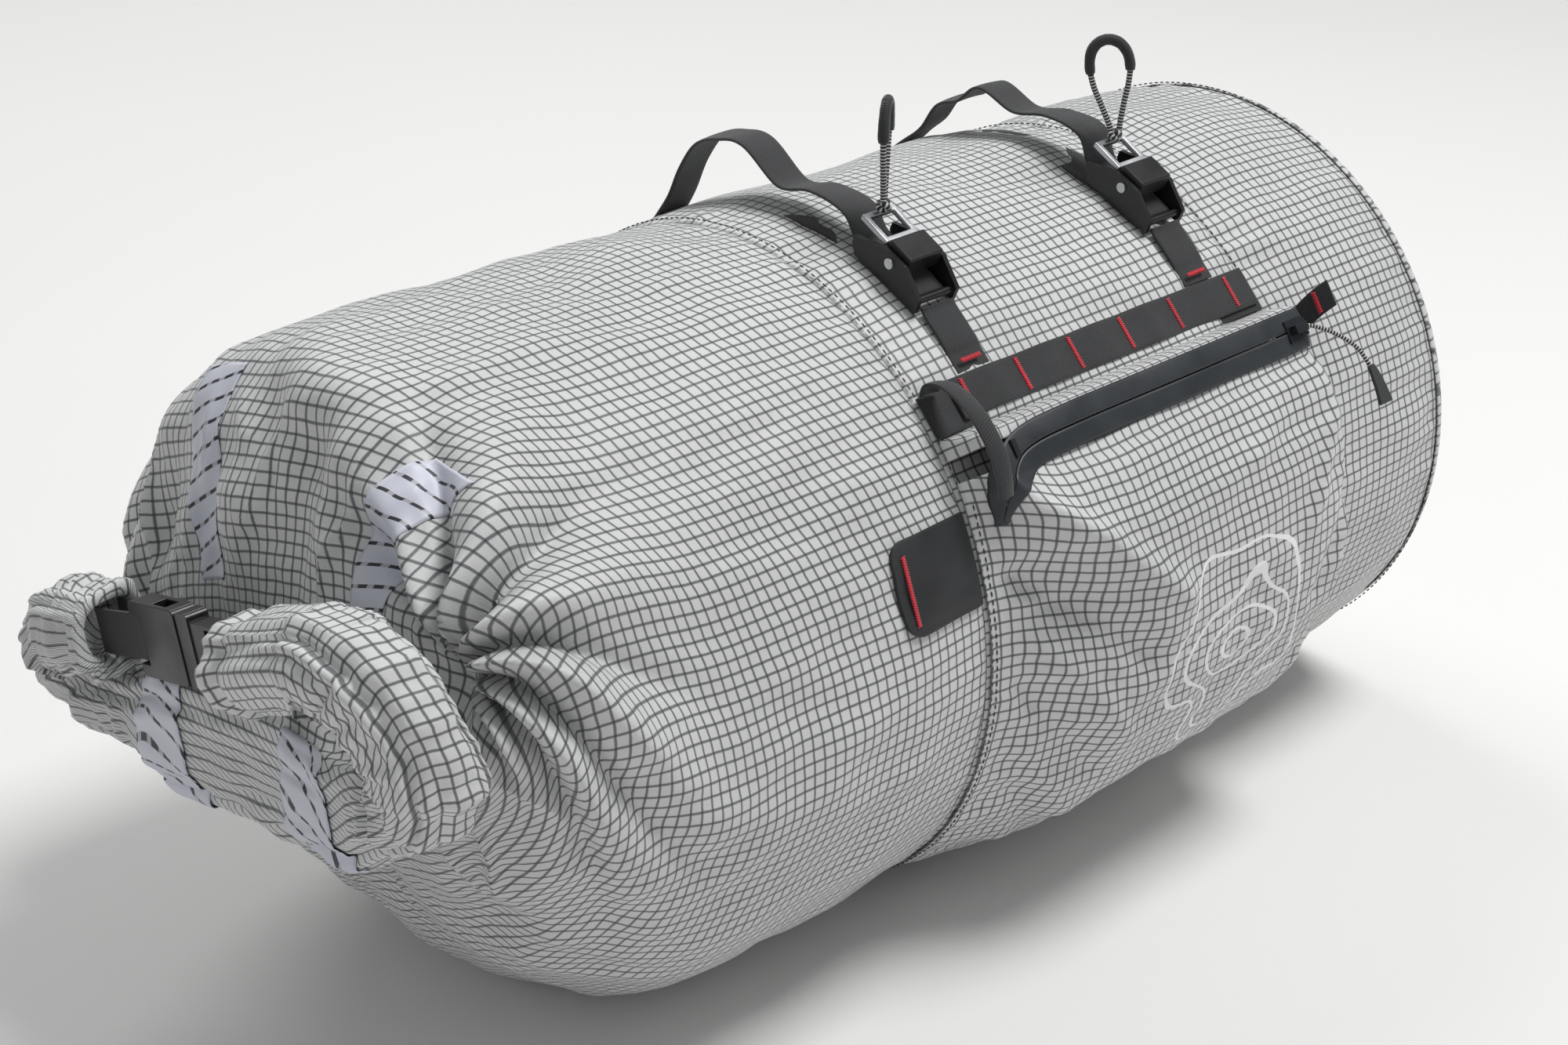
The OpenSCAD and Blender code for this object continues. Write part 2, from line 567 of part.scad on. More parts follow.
// Radius of the roll-end panel's outside beside the seam
function patch_r(x) = bag_r(x_seam_l) + 2 * max(0, x_seam_l - x) / 66 + seat;
// A sheet on the roll-end panel, with its half height at the roll side and elsewhere
module patch_sheet(xs, half0, half1, h0, h1) {
    n = 8;
    last = len(xs) - 1;
    function at(i, v, h) = on_sack(xs[i], patch_th + patch_a * (i == 0 ? half0 : half1) * (2 * v / n - 1),
        patch_r(xs[i]) + h);
    sheet([for (i = [0:last], v = [0:n]) at(i, v, h1)],
        [for (i = [0:last], v = [0:n]) at(i, v, h0)], last, n);
}
module light_patch() {
    xs = [for (u = [0, 0.1, 0.4, 0.7, 1]) x_patch - patch_len * (1 - u)];
    color("#2a2b2d") patch_sheet(xs, 0.86, 1, 0, patch_t);
}

// ---------- cam straps ----------

root_th = daisy_th + web_a;                        // where a strap meets the daisy chain
root_top = 2 * seat + 2 * web_t;
land_th = 124;                                     // where the long webbing is sewn to its base
module strap_base(x) {
    color("#1a1b1d")
        on_bag(x - web_w / 2, x + web_w / 2, root_th + 0.6, land_th + 24, seat, seat + web_t, 1, 28);
}
// Flat ribbon in the plane of a strap, from places given as [angle, height above the sack]
module strap(x, places, steps = 5) {
    pts = smooth([for (q = places) (bag_r(x) + q[1]) * [-cos(q[0]), sin(q[0])]], steps);
    translate([x - web_w / 2, 0, axis_h]) rotate([90, 0, 90])
        linear_extrude(web_w) polygon(ribbon(pts, web_t));
}
web_mid = 2 * seat + 1.5 * web_t + 0.1;                  // height of a second layer's middle
cam_bar_y = -cam_len / 2 + 2.4;
cam_bar_h = 6.4;
cam_bar_r = 1.4;
cam_arc = 180 / PI / bag_r(0);
module strap_lower(x) {
    // sewn down at the daisy chain, rising to wrap over the buckle's bar
    end_th = cam_th + (cam_bar_y - cam_bar_r - seat - web_t / 2) * cam_arc;
    color("#232427") strap(x, [[root_th + 0.7, web_mid], [root_th + 3, web_mid + 0.1],
        [root_th + 5, web_mid + 1], [end_th - 1.2, cam_bar_h - 1.4], [end_th, cam_bar_h]]);
}
cam_gate_h = 6;                                    // height at which the long webbing runs under the cam
function long_route(rise, dip) = [[cam_th - 10.8 * cam_arc, cam_gate_h], [cam_th - 2.2 * cam_arc, cam_gate_h],
    [cam_th + 8.6 * cam_arc, cam_gate_h + 0.1], [cam_th + 18.4 * cam_arc, cam_gate_h + 2],
    [78, 14 + dip], [85, 14 + dip], [92, 11 + dip], [99, 17 + rise / 4], [104, rise], [109, rise - 1], [114, rise - 8], [119, rise / 3],
    [land_th, web_mid + 0.8], [land_th + 3, web_mid], [land_th + 8, web_mid]];
module strap_long(x, rise, dip) { color("#232427") strap(x, long_route(rise, dip)); }

// ---------- cam buckles ----------

cam_in_w = web_w + 1.2;                           // room between the side plates
plate_t = 1.8;
cam_out_w = cam_in_w + 2 * plate_t;
floor_h = 2 * seat + web_t;                       // underside of the frame, above the base webbing
floor_t = 1.6;
pin_y = 1;
pin_h = 12;
hub_r = 3.6;
// Outline of a side plate: along the sack's curve, and off it
side_plate = let(e = cam_len / 2, h = floor_h) [[-e, h + 1.5], [-e, h + 7], [-5, pin_h + 3.4],
    [5, pin_h + 3.4], [e + 3, h + 8], [e + 3, h + 5], [e, h + 1.2], [-e + 5, h + 1.2]];
module cam_frame(x) {
    color("#1b1b1d") at_sack(x, cam_th) difference() {
        union() {
            translate([-cam_out_w / 2, -cam_len / 2 + 7, floor_h + 1.2])
                cube([cam_out_w, cam_len - 7, floor_t]);
            for (s = [-1, 1])
                translate([s * (cam_in_w + plate_t) / 2 - plate_t / 2, 0, 0]) rotate([90, 0, 90])
                    linear_extrude(plate_t) polygon(side_plate);
            translate([-cam_out_w / 2 + eps, cam_bar_y, cam_bar_h]) rotate([0, 90, 0])
                cylinder(h = cam_out_w - 2 * eps, r = cam_bar_r);
        }
        translate([-cam_out_w, pin_y, pin_h]) rotate([0, 90, 0]) cylinder(h = 2 * cam_out_w, r = cam_pin_r);
    }
}
module cam_pin(x) {
    head = 0.8;
    color("silver") at_sack(x, cam_th) translate([0, pin_y, pin_h]) rotate([0, 90, 0]) union() {
        translate([0, 0, -cam_out_w / 2]) cylinder(h = cam_out_w, r = cam_pin_r);
        for (s = [-1, 1])
            translate([0, 0, s * (cam_out_w + head) / 2 - head / 2]) cylinder(h = head, r = 1.9);
    }
}
spring_w = 3;
spring_r = 2.5;
module cam_block(x) {
    w = cam_in_w - 2 * seat;
    color("#222224") at_sack(x, cam_th) difference() {
        union() {
            translate([-w / 2, pin_y, pin_h]) rotate([0, 90, 0]) cylinder(h = w, r = hub_r);
            // thumb block above the pin
            translate([-w / 2, 0, 0]) rotate([90, 0, 90]) linear_extrude(w) offset(0.8)
                polygon([[-4.6, pin_h - 0.4], [-4.6, pin_h + 5], [5, pin_h + 5.4], [5.8, pin_h + 1],
                    [3, pin_h - 1.4]]);
        }
        translate([-cam_out_w, pin_y, pin_h]) rotate([0, 90, 0])
            cylinder(h = 2 * cam_out_w, r = cam_pin_r + cam_fit);
        translate([w / 2 - spring_w - 0.4, pin_y, pin_h]) rotate([0, 90, 0])
            cylinder(h = 10, r = spring_r + 0.3);
    }
}
module cam_spring(x) {
    w = cam_in_w - 2 * seat;
    color("silver") at_sack(x, cam_th) translate([w / 2 - spring_w, pin_y, pin_h]) rotate([0, 90, 0])
        difference() {
            cylinder(h = spring_w, r = spring_r);
            translate([0, 0, -1]) cylinder(h = spring_w + 2, r = cam_pin_r + 0.3);
        }
}
module cam_jaw(x) {
    // toothed aluminium edge that bites the webbing, set into the face of the cam
    w = web_w - 2;
    color("lightgray") at_sack(x, cam_th) translate([-w / 2, 0, 0]) rotate([90, 0, 90]) linear_extrude(w)
        translate([pin_y, pin_h]) polygon([[-4.6, -2], [-4.3, -3], [-3.4, -3.7], [-2.3, -3.2], [-3.4, -2]]);
}
tab_y0 = 6.9;
tab_l = 14;
tab_h = pin_h + 2;
tab_s = 2.2;
tab_tilt = 4;
module cam_tab(x) {
    w = cam_in_w - 2 * seat;
    color("#c9cbcd") at_sack(x, cam_th) translate([0, tab_y0, tab_h]) rotate([tab_tilt, 0, 0]) difference() {
        translate([-w / 2, 0, 0]) cube([w, tab_l, tab_s]);
        translate([-w / 2 + tab_s, tab_s, -1]) cube([w - 2 * tab_s, tab_l - 2 * tab_s, tab_s + 2]);
    }
}

// ---------- pull cords ----------

// Each cord leaves a knot on its tab, runs up and over, and comes back to the knot.
// Across is measured in the plane of the loop, up from the knot.
cord_loop = [[-1.6, 0], [-2.6, 4], [-4.6, 10], [-6.8, 17], [-7.6, 24], [-6.6, 29.5], [-3.8, 33],
    [0, 34.2], [3.8, 33], [6.4, 29.5], [7.2, 24.5], [6.2, 18], [4.2, 11], [2.4, 4], [1.6, 0]];
knot_l = 3;
knot_r = 1.4 * cord_d;
knot_y = tab_y0 + tab_l - 1;
// Height of a knot's top, so that its lowest edge clears the tab
knot_h = tab_h + tab_s + tab_l * sin(tab_tilt) + 0.4 + knot_l * sin(cam_th) + knot_r * cos(cam_th);
function knot_at(x) = let(r = bag_r(x) + knot_h)
    on_sack(x, cam_th, r) + knot_y * [0, sin(cam_th), cos(cam_th)];
function loop_points(x, turn, width, lean) = let(across = [cos(turn), sin(turn), 0])
    [for (p = smooth(cord_loop, 2)) let(half = max(abs(p[0]) * width, cord_d * 0.6))
        knot_at(x) + across * (sign(p[0]) * half + lean * p[1]) + [0, 0, p[1]]];
function loop_normal(turn) = [sin(turn), -cos(turn), 0];
module pull_cord(x, turn, width, lean) {
    color("#1c1d1f") cord(loop_points(x, turn, width, lean), cord_d, loop_normal(turn));
}
module cord_knot(x) {
    color("#1c1d1f") translate(knot_at(x) - [0, 0, knot_l + 0.4]) cylinder(h = knot_l, r = knot_r);
}
module cord_sheath(x, turn, width, lean) {
    pts = loop_points(x, turn, width, lean);
    bend = [for (i = [7:len(pts) - 8]) pts[i]];
    color("#202123") difference() {
        cord(bend, sheath_d, loop_normal(turn), 10);
        cord(pts, cord_d + seat, loop_normal(turn));
    }
}
turn_l = 35;
width_l = 0.65;
lean_l = 0.1;
turn_r = -42;
width_r = 1;
lean_r = -0.12;

// ---------- assembly ----------

roll_end_panel();
centre_panel();
far_panel();
end_disc();
seam_tape(x_seam_l);  // seam_tape_left
seam_tape(x_seam_r);  // seam_tape_right
roll_top();
mouth_stiffener();
buckle_web_female();
buckle_web_male();
buckle_female();
buckle_male();
prong(1);  // buckle_prong_upper
prong(-1);  // buckle_prong_lower
reflective_strip(62, 72);  // reflective_strip_left
reflective_strip(112, 123);  // reflective_strip_right
pocket_front();
pocket_top_strip();
zip_tape(-1);  // zip_tape_lower
zip_tape(1);  // zip_tape_upper
zip_coil();
zip_stop(x_coil_l + 1);  // zip_stop_left
zip_stop(x_zip_r - 1.5);  // zip_stop_right
zip_slider();
zip_pull_cord();
zip_pull_tab();
zip_tab_left();
zip_tab_right();
daisy_base();
daisy_webbing();
bar_tacks();
light_patch();
strap_base(x_strap_l);  // strap_base_left
strap_base(x_strap_r);  // strap_base_right
strap_lower(x_strap_l);  // strap_lower_left
strap_lower(x_strap_r);  // strap_lower_right
strap_long(x_strap_l, loop_h, 0);  // strap_long_left
strap_long(x_strap_r, loop_h - 9, 3);  // strap_long_right
cam_frame(x_strap_l);  // cam_frame_left
cam_block(x_strap_l);  // cam_block_left
cam_tab(x_strap_l);  // cam_tab_left
cam_pin(x_strap_l);  // cam_pin_left
cam_spring(x_strap_l);  // cam_spring_left
cam_jaw(x_strap_l);  // cam_jaw_left
cam_frame(x_strap_r);  // cam_frame_right
cam_block(x_strap_r);  // cam_block_right
cam_tab(x_strap_r);  // cam_tab_right
cam_pin(x_strap_r);  // cam_pin_right
cam_spring(x_strap_r);  // cam_spring_right
cam_jaw(x_strap_r);  // cam_jaw_right
pull_cord(x_strap_l, turn_l, width_l, lean_l);  // pull_cord_left
pull_cord(x_strap_r, turn_r, width_r, lean_r);  // pull_cord_right
cord_sheath(x_strap_l, turn_l, width_l, lean_l);  // cord_sheath_left
cord_sheath(x_strap_r, turn_r, width_r, lean_r);  // cord_sheath_right
cord_knot(x_strap_l);  // cord_knot_left
cord_knot(x_strap_r);  // cord_knot_right
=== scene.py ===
"""A stuffed roll-top sack in ripstop cloth, with a zipped pocket, cam straps and a side-release buckle."""
import json
import math

import bmesh
import bpy
import numpy as np
from mathutils import Matrix, Vector, noise


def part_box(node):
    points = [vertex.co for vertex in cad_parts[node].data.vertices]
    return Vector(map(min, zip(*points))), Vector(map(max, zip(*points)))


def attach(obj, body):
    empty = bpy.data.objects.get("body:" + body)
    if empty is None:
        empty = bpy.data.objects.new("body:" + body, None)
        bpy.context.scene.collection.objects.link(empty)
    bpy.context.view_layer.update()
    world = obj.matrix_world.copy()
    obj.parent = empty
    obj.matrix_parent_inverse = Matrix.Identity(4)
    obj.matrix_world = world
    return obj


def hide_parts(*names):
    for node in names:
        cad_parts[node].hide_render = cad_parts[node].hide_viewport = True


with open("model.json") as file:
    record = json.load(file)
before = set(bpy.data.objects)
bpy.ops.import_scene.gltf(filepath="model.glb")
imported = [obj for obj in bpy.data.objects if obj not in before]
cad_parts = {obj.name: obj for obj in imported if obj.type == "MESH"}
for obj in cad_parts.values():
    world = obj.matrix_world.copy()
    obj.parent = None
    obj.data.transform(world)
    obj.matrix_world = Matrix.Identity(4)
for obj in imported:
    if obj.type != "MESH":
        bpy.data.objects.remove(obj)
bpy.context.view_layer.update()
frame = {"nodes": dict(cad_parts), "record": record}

bl_info = {
    "name": "Roll-top stuff sack",
    "version": (1, 0, 0),
    "blender": (4, 5, 0),
    "location": "View3D > Sidebar > Stuff sack",
    "description": "Dresses the stuff sack's frame in ripstop cloth, webbing, plastic and cord",
    "category": "Add Mesh",
}

MM = 0.001

# ---------------------------------------------------------------- the sack's own measures, in millimetres

def box_mm(node):
    low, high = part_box(node)
    return np.array(low) / MM, np.array(high) / MM


SEAM_L, SEAM_R = box_mm("centre_panel")[0][0], box_mm("centre_panel")[1][0]
MOUTH = box_mm("roll_end_panel")[0][0]
X_END = box_mm("far_panel")[1][0]
X_TIP = box_mm("end_disc")[1][0]
R_SEAM, R_FAR, R_END = (box_mm(node)[1][1] for node in ("centre_panel", "far_panel", "end_disc"))
AXIS_H = box_mm("end_disc")[1][2] - R_END
STRAP_X = {side: sum(c[0] for c in box_mm(f"strap_base_{side}")) / 2 for side in ("left", "right")}
CAM_AT = 66.0        # angle of the cam buckles on the sack
DAISY_AT = 44.0      # angle of the daisy chain
ZIP_AT = 34.0        # angle of the zip
ZIP_R = 141.0        # radius at which the zip runs
WEB_W = 15.0
WEB_T = 1.2


def bag_r(x):
    """Radius of the sack at x."""
    return np.interp(x, [SEAM_L, SEAM_R, X_END], [R_SEAM, R_FAR, R_END])


def on_sack(x, angle, r):
    """A point at x, an angle in degrees (0 is the pocket side, 90 the top) and a radius."""
    a = np.radians(angle)
    return np.stack(np.broadcast_arrays(x, -r * np.cos(a), AXIS_H + r * np.sin(a)), axis=-1)


def ease(t):
    c = np.clip(t, 0.0, 1.0)
    return c * c * (3 - 2 * c)


def lump(t, middle, width):
    """A soft bump of height 1 about the middle."""
    return np.exp(-((t - middle) / width) ** 2)


def unit(v):
    v = np.asarray(v, float)
    return v / np.maximum(np.linalg.norm(v, axis=-1, keepdims=True), 1e-12)


def smooth_path(points, steps):
    """A Catmull-Rom curve through the points, as an array."""
    p = np.array(points, float)
    q = np.vstack([p[0], p, p[-1]])
    t = np.linspace(0, 1, steps, endpoint=False)[:, None]
    runs = [0.5 * (2 * b + (c - a) * t + (2 * a - 5 * b + 4 * c - d) * t ** 2 + (3 * b - a - 3 * c + d) * t ** 3)
            for a, b, c, d in zip(q, q[1:], q[2:], q[3:])]
    return np.vstack(runs + [p[-1:]])


def travelled(points):
    """Distance along a line of points."""
    return np.concatenate([[0.0], np.cumsum(np.linalg.norm(np.diff(points, axis=0), axis=1))])


def even_path(points, count):
    """The same curve with its points evenly spaced."""
    points = np.asarray(points, float)
    along = travelled(points)
    wanted = np.linspace(0, along[-1], count)
    return np.stack([np.interp(wanted, along, axis) for axis in points.T], axis=-1)


def crumple(places, size, seed):
    """Smooth noise, about -1 to 1, at each of the places; size says how long a wave is along each axis."""
    shape = places.shape[:-1]
    scaled = (places / np.array(size, float)).reshape(-1, 3) + np.array([seed * 7.3, seed * 3.1, -seed * 5.7])
    total = np.zeros(len(scaled))
    for step in (1.0, 2.0):
        total += np.array([noise.noise(tuple(p)) for p in scaled * step]) / step
    return total.reshape(shape) * 1.5


def creases(value):
    """Turns smooth noise into narrow ridges where it crosses zero, from 0 to 1."""
    return np.clip(1 - 3.0 * np.abs(value), 0, 1) ** 2


# ---------------------------------------------------------------- mesh helpers

SHARP_EDGE = math.radians(30)       # edges of a frame part sharper than this are rounded
FLAT_ENOUGH = math.radians(1.5)     # faces nearer to one plane than this are joined first
STITCH, STITCH_PITCH = 2.2, 3.0

def finish_piece(name, bm, material, body="shell", replaced=(), wall=0.0, edge=0.0):
    """Makes a piece from its bmesh, with its material and body, and hides the frame parts it stands for."""
    for face in bm.faces:
        face.smooth = True
    mesh = bpy.data.meshes.new(name)
    bm.to_mesh(mesh)
    bm.free()
    piece = bpy.data.objects.new(name, mesh)
    bpy.context.scene.collection.objects.link(piece)
    mesh.materials.append(material)
    if wall:
        thick = piece.modifiers.new("wall", "SOLIDIFY")
        thick.thickness, thick.offset = abs(wall) * MM, -1.0 if wall > 0 else 0.0
    if edge:
        rounded = piece.modifiers.new("edge", "BEVEL")
        rounded.width, rounded.segments = edge * MM, 2
        rounded.limit_method, rounded.angle_limit = "ANGLE", math.radians(40)
    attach(piece, body)
    if replaced:
        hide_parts(*replaced)
    return piece


def grid_bmesh(points, flat, ring=False):
    """A sheet through a grid of points; flat gives its flat-cloth coordinates, kept in the UV map named cloth."""
    nu, nv = points.shape[0] - 1, points.shape[1] - 1
    bm = bmesh.new()
    bmesh.ops.create_grid(bm, x_segments=nu, y_segments=nv, size=0.5)
    layer = bm.loops.layers.uv.new("cloth")
    place = {v: (round((v.co.x + 0.5) * nu), round((v.co.y + 0.5) * nv)) for v in bm.verts}
    flat = np.asarray(flat) * MM
    for face in bm.faces:
        for loop in face.loops:
            loop[layer].uv = flat[place[loop.vert]]
    metres = points * MM
    for vert, key in place.items():
        vert.co = metres[key]
    if ring:
        bmesh.ops.remove_doubles(bm, verts=bm.verts, dist=1e-6)
    return bm


def flat_of(points, middle=None):
    """Flat coordinates of a sheet: the length along each column, and along each row from the middle column."""
    flat = np.zeros(points.shape[:2] + (2,))
    flat[1:, :, 0] = np.cumsum(np.linalg.norm(np.diff(points, axis=0), axis=2), axis=0)
    flat[:, 1:, 1] = np.cumsum(np.linalg.norm(np.diff(points, axis=1), axis=2), axis=1)
    if middle is not None:
        flat[..., 1] -= flat[:, middle:middle + 1, 1]
    return flat


def cloth_piece(name, points, material, replaced=(), flat=None, ring=False, wall=0.5, body="shell"):
    """A piece of cloth through a grid of points in millimetres, outside first."""
    flat = flat_of(points) if flat is None else flat
    return finish_piece(name, grid_bmesh(points, flat, ring), material, body, replaced, wall=wall)


def ribbon(name, line, side, width, node, crown=0.0):
    """A strip of webbing along a line of points, with side the way across it, in place of a frame part."""
    line = np.array(line, float)
    side = unit(np.broadcast_to(np.array(side, float), line.shape))
    across = np.linspace(-0.5, 0.5, 9)
    normal = unit(np.cross(np.gradient(line, axis=0), side))
    reach = across[None, :] * np.broadcast_to(np.asarray(width, float), (len(line),))[:, None]
    points = line[:, None] + side[:, None] * reach[..., None]
    points = points + normal[:, None] * (crown * (1 - (2 * across) ** 2))[None, :, None]
    flat = np.stack(np.broadcast_arrays(travelled(line)[:, None], reach), axis=-1)
    return finish_piece(name, grid_bmesh(points, flat), plain_webbing(), replaced=(node,), wall=-WEB_T,
                        edge=WEB_T * 0.3)


def softened(node_name, name, material, body="shell", bevel=0.4, segments=3):
    """A copy of a frame part with its edges rounded."""
    bm = bmesh.new()
    bm.from_mesh(frame["nodes"][node_name].data)
    bmesh.ops.remove_doubles(bm, verts=bm.verts, dist=1e-6)
    bmesh.ops.dissolve_limit(bm, angle_limit=FLAT_ENOUGH, verts=bm.verts, edges=bm.edges)
    sharp = [e for e in bm.edges if len(e.link_faces) == 2 and e.calc_face_angle(0) > SHARP_EDGE]
    bmesh.ops.bevel(bm, geom=sharp, offset=bevel * MM, offset_type="OFFSET", affect="EDGES", segments=segments,
                    profile=0.5, material=-1, clamp_overlap=True)
    piece = finish_piece(name, bm, material, body, (node_name,))
    piece.modifiers.new("flats", "WEIGHTED_NORMAL").keep_sharp = True
    return piece


def tube_grid(line, radius, sides=12):
    """Grid of points round a line, and its flat coordinates with turns round the line as the second."""
    line = np.array(line, float)
    tangent = unit(np.gradient(line, axis=0))
    start = np.cross(tangent[0], [0.0, 0.0, 1.0] if abs(tangent[0][2]) < 0.9 else [1.0, 0.0, 0.0])
    across = [unit(start)]
    for way in tangent[1:]:
        across.append(unit(across[-1] - way * np.dot(across[-1], way)))
    side = np.array(across)
    other = np.cross(tangent, side)
    turn = np.linspace(0, 2 * math.pi, sides + 1)
    reach = np.broadcast_to(np.asarray(radius, float), (len(line),))
    points = line[:, None] + reach[:, None, None] * (np.cos(turn)[None, :, None] * other[:, None]
                                                     + np.sin(turn)[None, :, None] * side[:, None])
    flat = np.stack(np.broadcast_arrays(travelled(line)[:, None], (turn / (2 * math.pi))[None, :]), axis=-1)
    return points, flat


def tube(name, line, radius, material, replaced=(), body="shell", sides=12):
    """A round cord along a line of points, closed at both ends."""
    points, flat = tube_grid(line, radius, sides)
    bm = grid_bmesh(points, flat, ring=True)
    bmesh.ops.holes_fill(bm, edges=[e for e in bm.edges if e.is_boundary], sides=0)
    bmesh.ops.recalc_face_normals(bm, faces=bm.faces)
    return finish_piece(name, bm, material, body, replaced)


def stitches(name, lines, radius):
    """Short rounded stitches along lines of points."""
    bm = bmesh.new()
    for line in lines:
        count = max(2, int(travelled(line)[-1] / STITCH_PITCH))
        spots = even_path(line, 2 * count + 1)[1::2]
        ways = unit(np.gradient(even_path(line, 2 * count + 1), axis=0))[1::2]
        for spot, way in zip(spots, ways):
            turn = Vector((0, 0, 1)).rotation_difference(Vector(way)).to_matrix().to_4x4()
            matrix = Matrix.Translation(Vector(spot) * MM) @ turn @ Matrix.Diagonal((1, 1, STITCH / 2 / radius, 1))
            bmesh.ops.create_uvsphere(bm, u_segments=6, v_segments=4, radius=radius * MM, matrix=matrix)
    return finish_piece(name, bm, dark_thread())


# ---------------------------------------------------------------- material helpers

def add(tree, kind, inputs=None, **settings):
    """Adds a node, sets its settings and its inputs; an input may be a value or another node's output."""
    node = tree.nodes.new(kind)
    for key, value in settings.items():
        setattr(node, key, value)
    for key, value in (inputs or {}).items():
        if isinstance(value, bpy.types.NodeSocket):
            tree.links.new(value, node.inputs[key])
        else:
            node.inputs[key].default_value = value
    return node


def math_node(tree, operation, a, b=None, c=None):
    inputs = {i: v for i, v in enumerate((a, b, c)) if v is not None}
    return add(tree, "ShaderNodeMath", inputs, operation=operation).outputs[0]


def band(tree, value, low, high):
    """0 below low and 1 above high, with a soft step between."""
    return add(tree, "ShaderNodeMapRange", {0: value, 1: low, 2: high}, interpolation_type="SMOOTHSTEP").outputs[0]


def mix_colour(tree, factor, a, b):
    return add(tree, "ShaderNodeMix", {0: factor, 6: a, 7: b}, data_type="RGBA").outputs[2]


def vector_node(tree, operation, a, b):
    return add(tree, "ShaderNodeVectorMath", {0: a, 1: b}, operation=operation).outputs[0]


def remap(tree, value, low, high, to_low, to_high):
    return add(tree, "ShaderNodeMapRange", {0: value, 1: low, 2: high, 3: to_low, 4: to_high}).outputs[0]


def noise_node(tree, place, scale, detail):
    return add(tree, "ShaderNodeTexNoise", {"Vector": place, "Scale": scale, "Detail": detail}).outputs["Fac"]


def object_place(tree):
    return add(tree, "ShaderNodeTexCoord").outputs["Object"]


def cloth_place(tree):
    """The flat-cloth coordinates, whole and split into axes."""
    cloth_map = add(tree, "ShaderNodeUVMap", uv_map="cloth").outputs[0]
    return cloth_map, add(tree, "ShaderNodeSeparateXYZ", {0: cloth_map}).outputs


def off_centre(tree, value):
    """How far the fraction of a value is from one half."""
    return math_node(tree, "ABSOLUTE", math_node(tree, "SUBTRACT", math_node(tree, "FRACT", value), 0.5))


def new_group(name, sockets_in, sockets_out):
    group = bpy.data.node_groups.new(name, "ShaderNodeTree")
    for label, kind, default in sockets_in:
        socket = group.interface.new_socket(label, in_out="INPUT", socket_type=kind)
        socket.default_value = default
    for label, kind in sockets_out:
        group.interface.new_socket(label, in_out="OUTPUT", socket_type=kind)
    return group, group.nodes.new("NodeGroupInput").outputs, group.nodes.new("NodeGroupOutput").inputs


def build_ripstop_group():
    """Plain cloth crossed by a square grid of thicker dark threads, read from the cloth map."""
    group, given, out = new_group(
        "Ripstop grid",
        [("Cell", "NodeSocketFloat", 0.0043), ("Line Share", "NodeSocketFloat", 0.2),
         ("Cloth", "NodeSocketColor", (0.8, 0.8, 0.8, 1)), ("Thread", "NodeSocketColor", (0.1, 0.1, 0.1, 1))],
        [("Colour", "NodeSocketColor"), ("Height", "NodeSocketFloat")])
    cloth_map, xyz = cloth_place(group)
    place = object_place(group)
    wander = noise_node(group, place, 260.0, 2.0)
    soft = 0.05
    masks = []
    for axis in (0, 1):
        cells = math_node(group, "DIVIDE", xyz[axis], given["Cell"])
        cells = math_node(group, "ADD", cells, math_node(group, "MULTIPLY", wander, 0.08))
        off = off_centre(group, cells)
        edge = math_node(group, "SUBTRACT", 0.5, math_node(group, "MULTIPLY", given["Line Share"], 0.5))
        masks.append(band(group, off, math_node(group, "SUBTRACT", edge, soft), math_node(group, "ADD", edge, soft)))
    crossing = math_node(group, "MAXIMUM", masks[0], masks[1])
    both = math_node(group, "MULTIPLY", masks[0], masks[1])
    strength = math_node(group, "MULTIPLY_ADD", both, 0.16, math_node(group, "MULTIPLY", crossing, 0.8))
    cloudy = noise_node(group, place, 14.0, 4.0)
    shade = remap(group, cloudy, 0.3, 0.7, 0.93, 1.03)
    base = vector_node(group, "MULTIPLY", given["Cloth"], shade)
    group.links.new(mix_colour(group, strength, base, given["Thread"]), out["Colour"])
    fine = noise_node(group, cloth_map, 1800.0, 1.0)
    height = math_node(group, "MULTIPLY_ADD", crossing, 0.5, math_node(group, "MULTIPLY", fine, 0.5))
    group.links.new(height, out["Height"])
    return group


def build_weave_group():
    """The ribbed weave of webbing, read from the cloth map: ribs across, and fine ends along; its colour has painted
    shade in the weave's low parts and a painted highlight on its high ribs.
    """
    group, given, out = new_group(
        "Webbing weave",
        [("Rib", "NodeSocketFloat", 0.0011), ("Colour", "NodeSocketColor", (0.02, 0.02, 0.02, 1))],
        [("Colour", "NodeSocketColor"), ("Height", "NodeSocketFloat")])
    xyz = cloth_place(group)[1]
    turn = math.pi * 2
    rows = math_node(group, "DIVIDE", xyz[0], given["Rib"])
    ends = math_node(group, "DIVIDE", xyz[1], math_node(group, "MULTIPLY", given["Rib"], 0.6))
    column = math_node(group, "MULTIPLY", math_node(group, "FLOOR", ends), 0.5)
    rib = math_node(group, "SINE", math_node(group, "MULTIPLY", math_node(group, "ADD", rows, column), turn))
    end = math_node(group, "ABSOLUTE", math_node(group, "SINE", math_node(group, "MULTIPLY", ends, math.pi)))
    height = math_node(group, "MULTIPLY_ADD", rib, 0.35, math_node(group, "MULTIPLY", end, 0.5))
    group.links.new(height, out["Height"])
    place = object_place(group)
    dust = noise_node(group, place, 90.0, 5.0)
    lift = remap(group, dust, 0.3, 0.75, 0.8, 1.5)
    # painted shade and highlight: the colour is darkened where the weave lies low and lightened where it stands high;
    # the dust patches vary the tone at random
    low = remap(group, height, -0.3, 0.8, 0.55, 1.15)
    shade = math_node(group, "MULTIPLY", lift, low)
    tinted = vector_node(group, "MULTIPLY", given["Colour"], shade)
    group.links.new(tinted, out["Colour"])
    return group


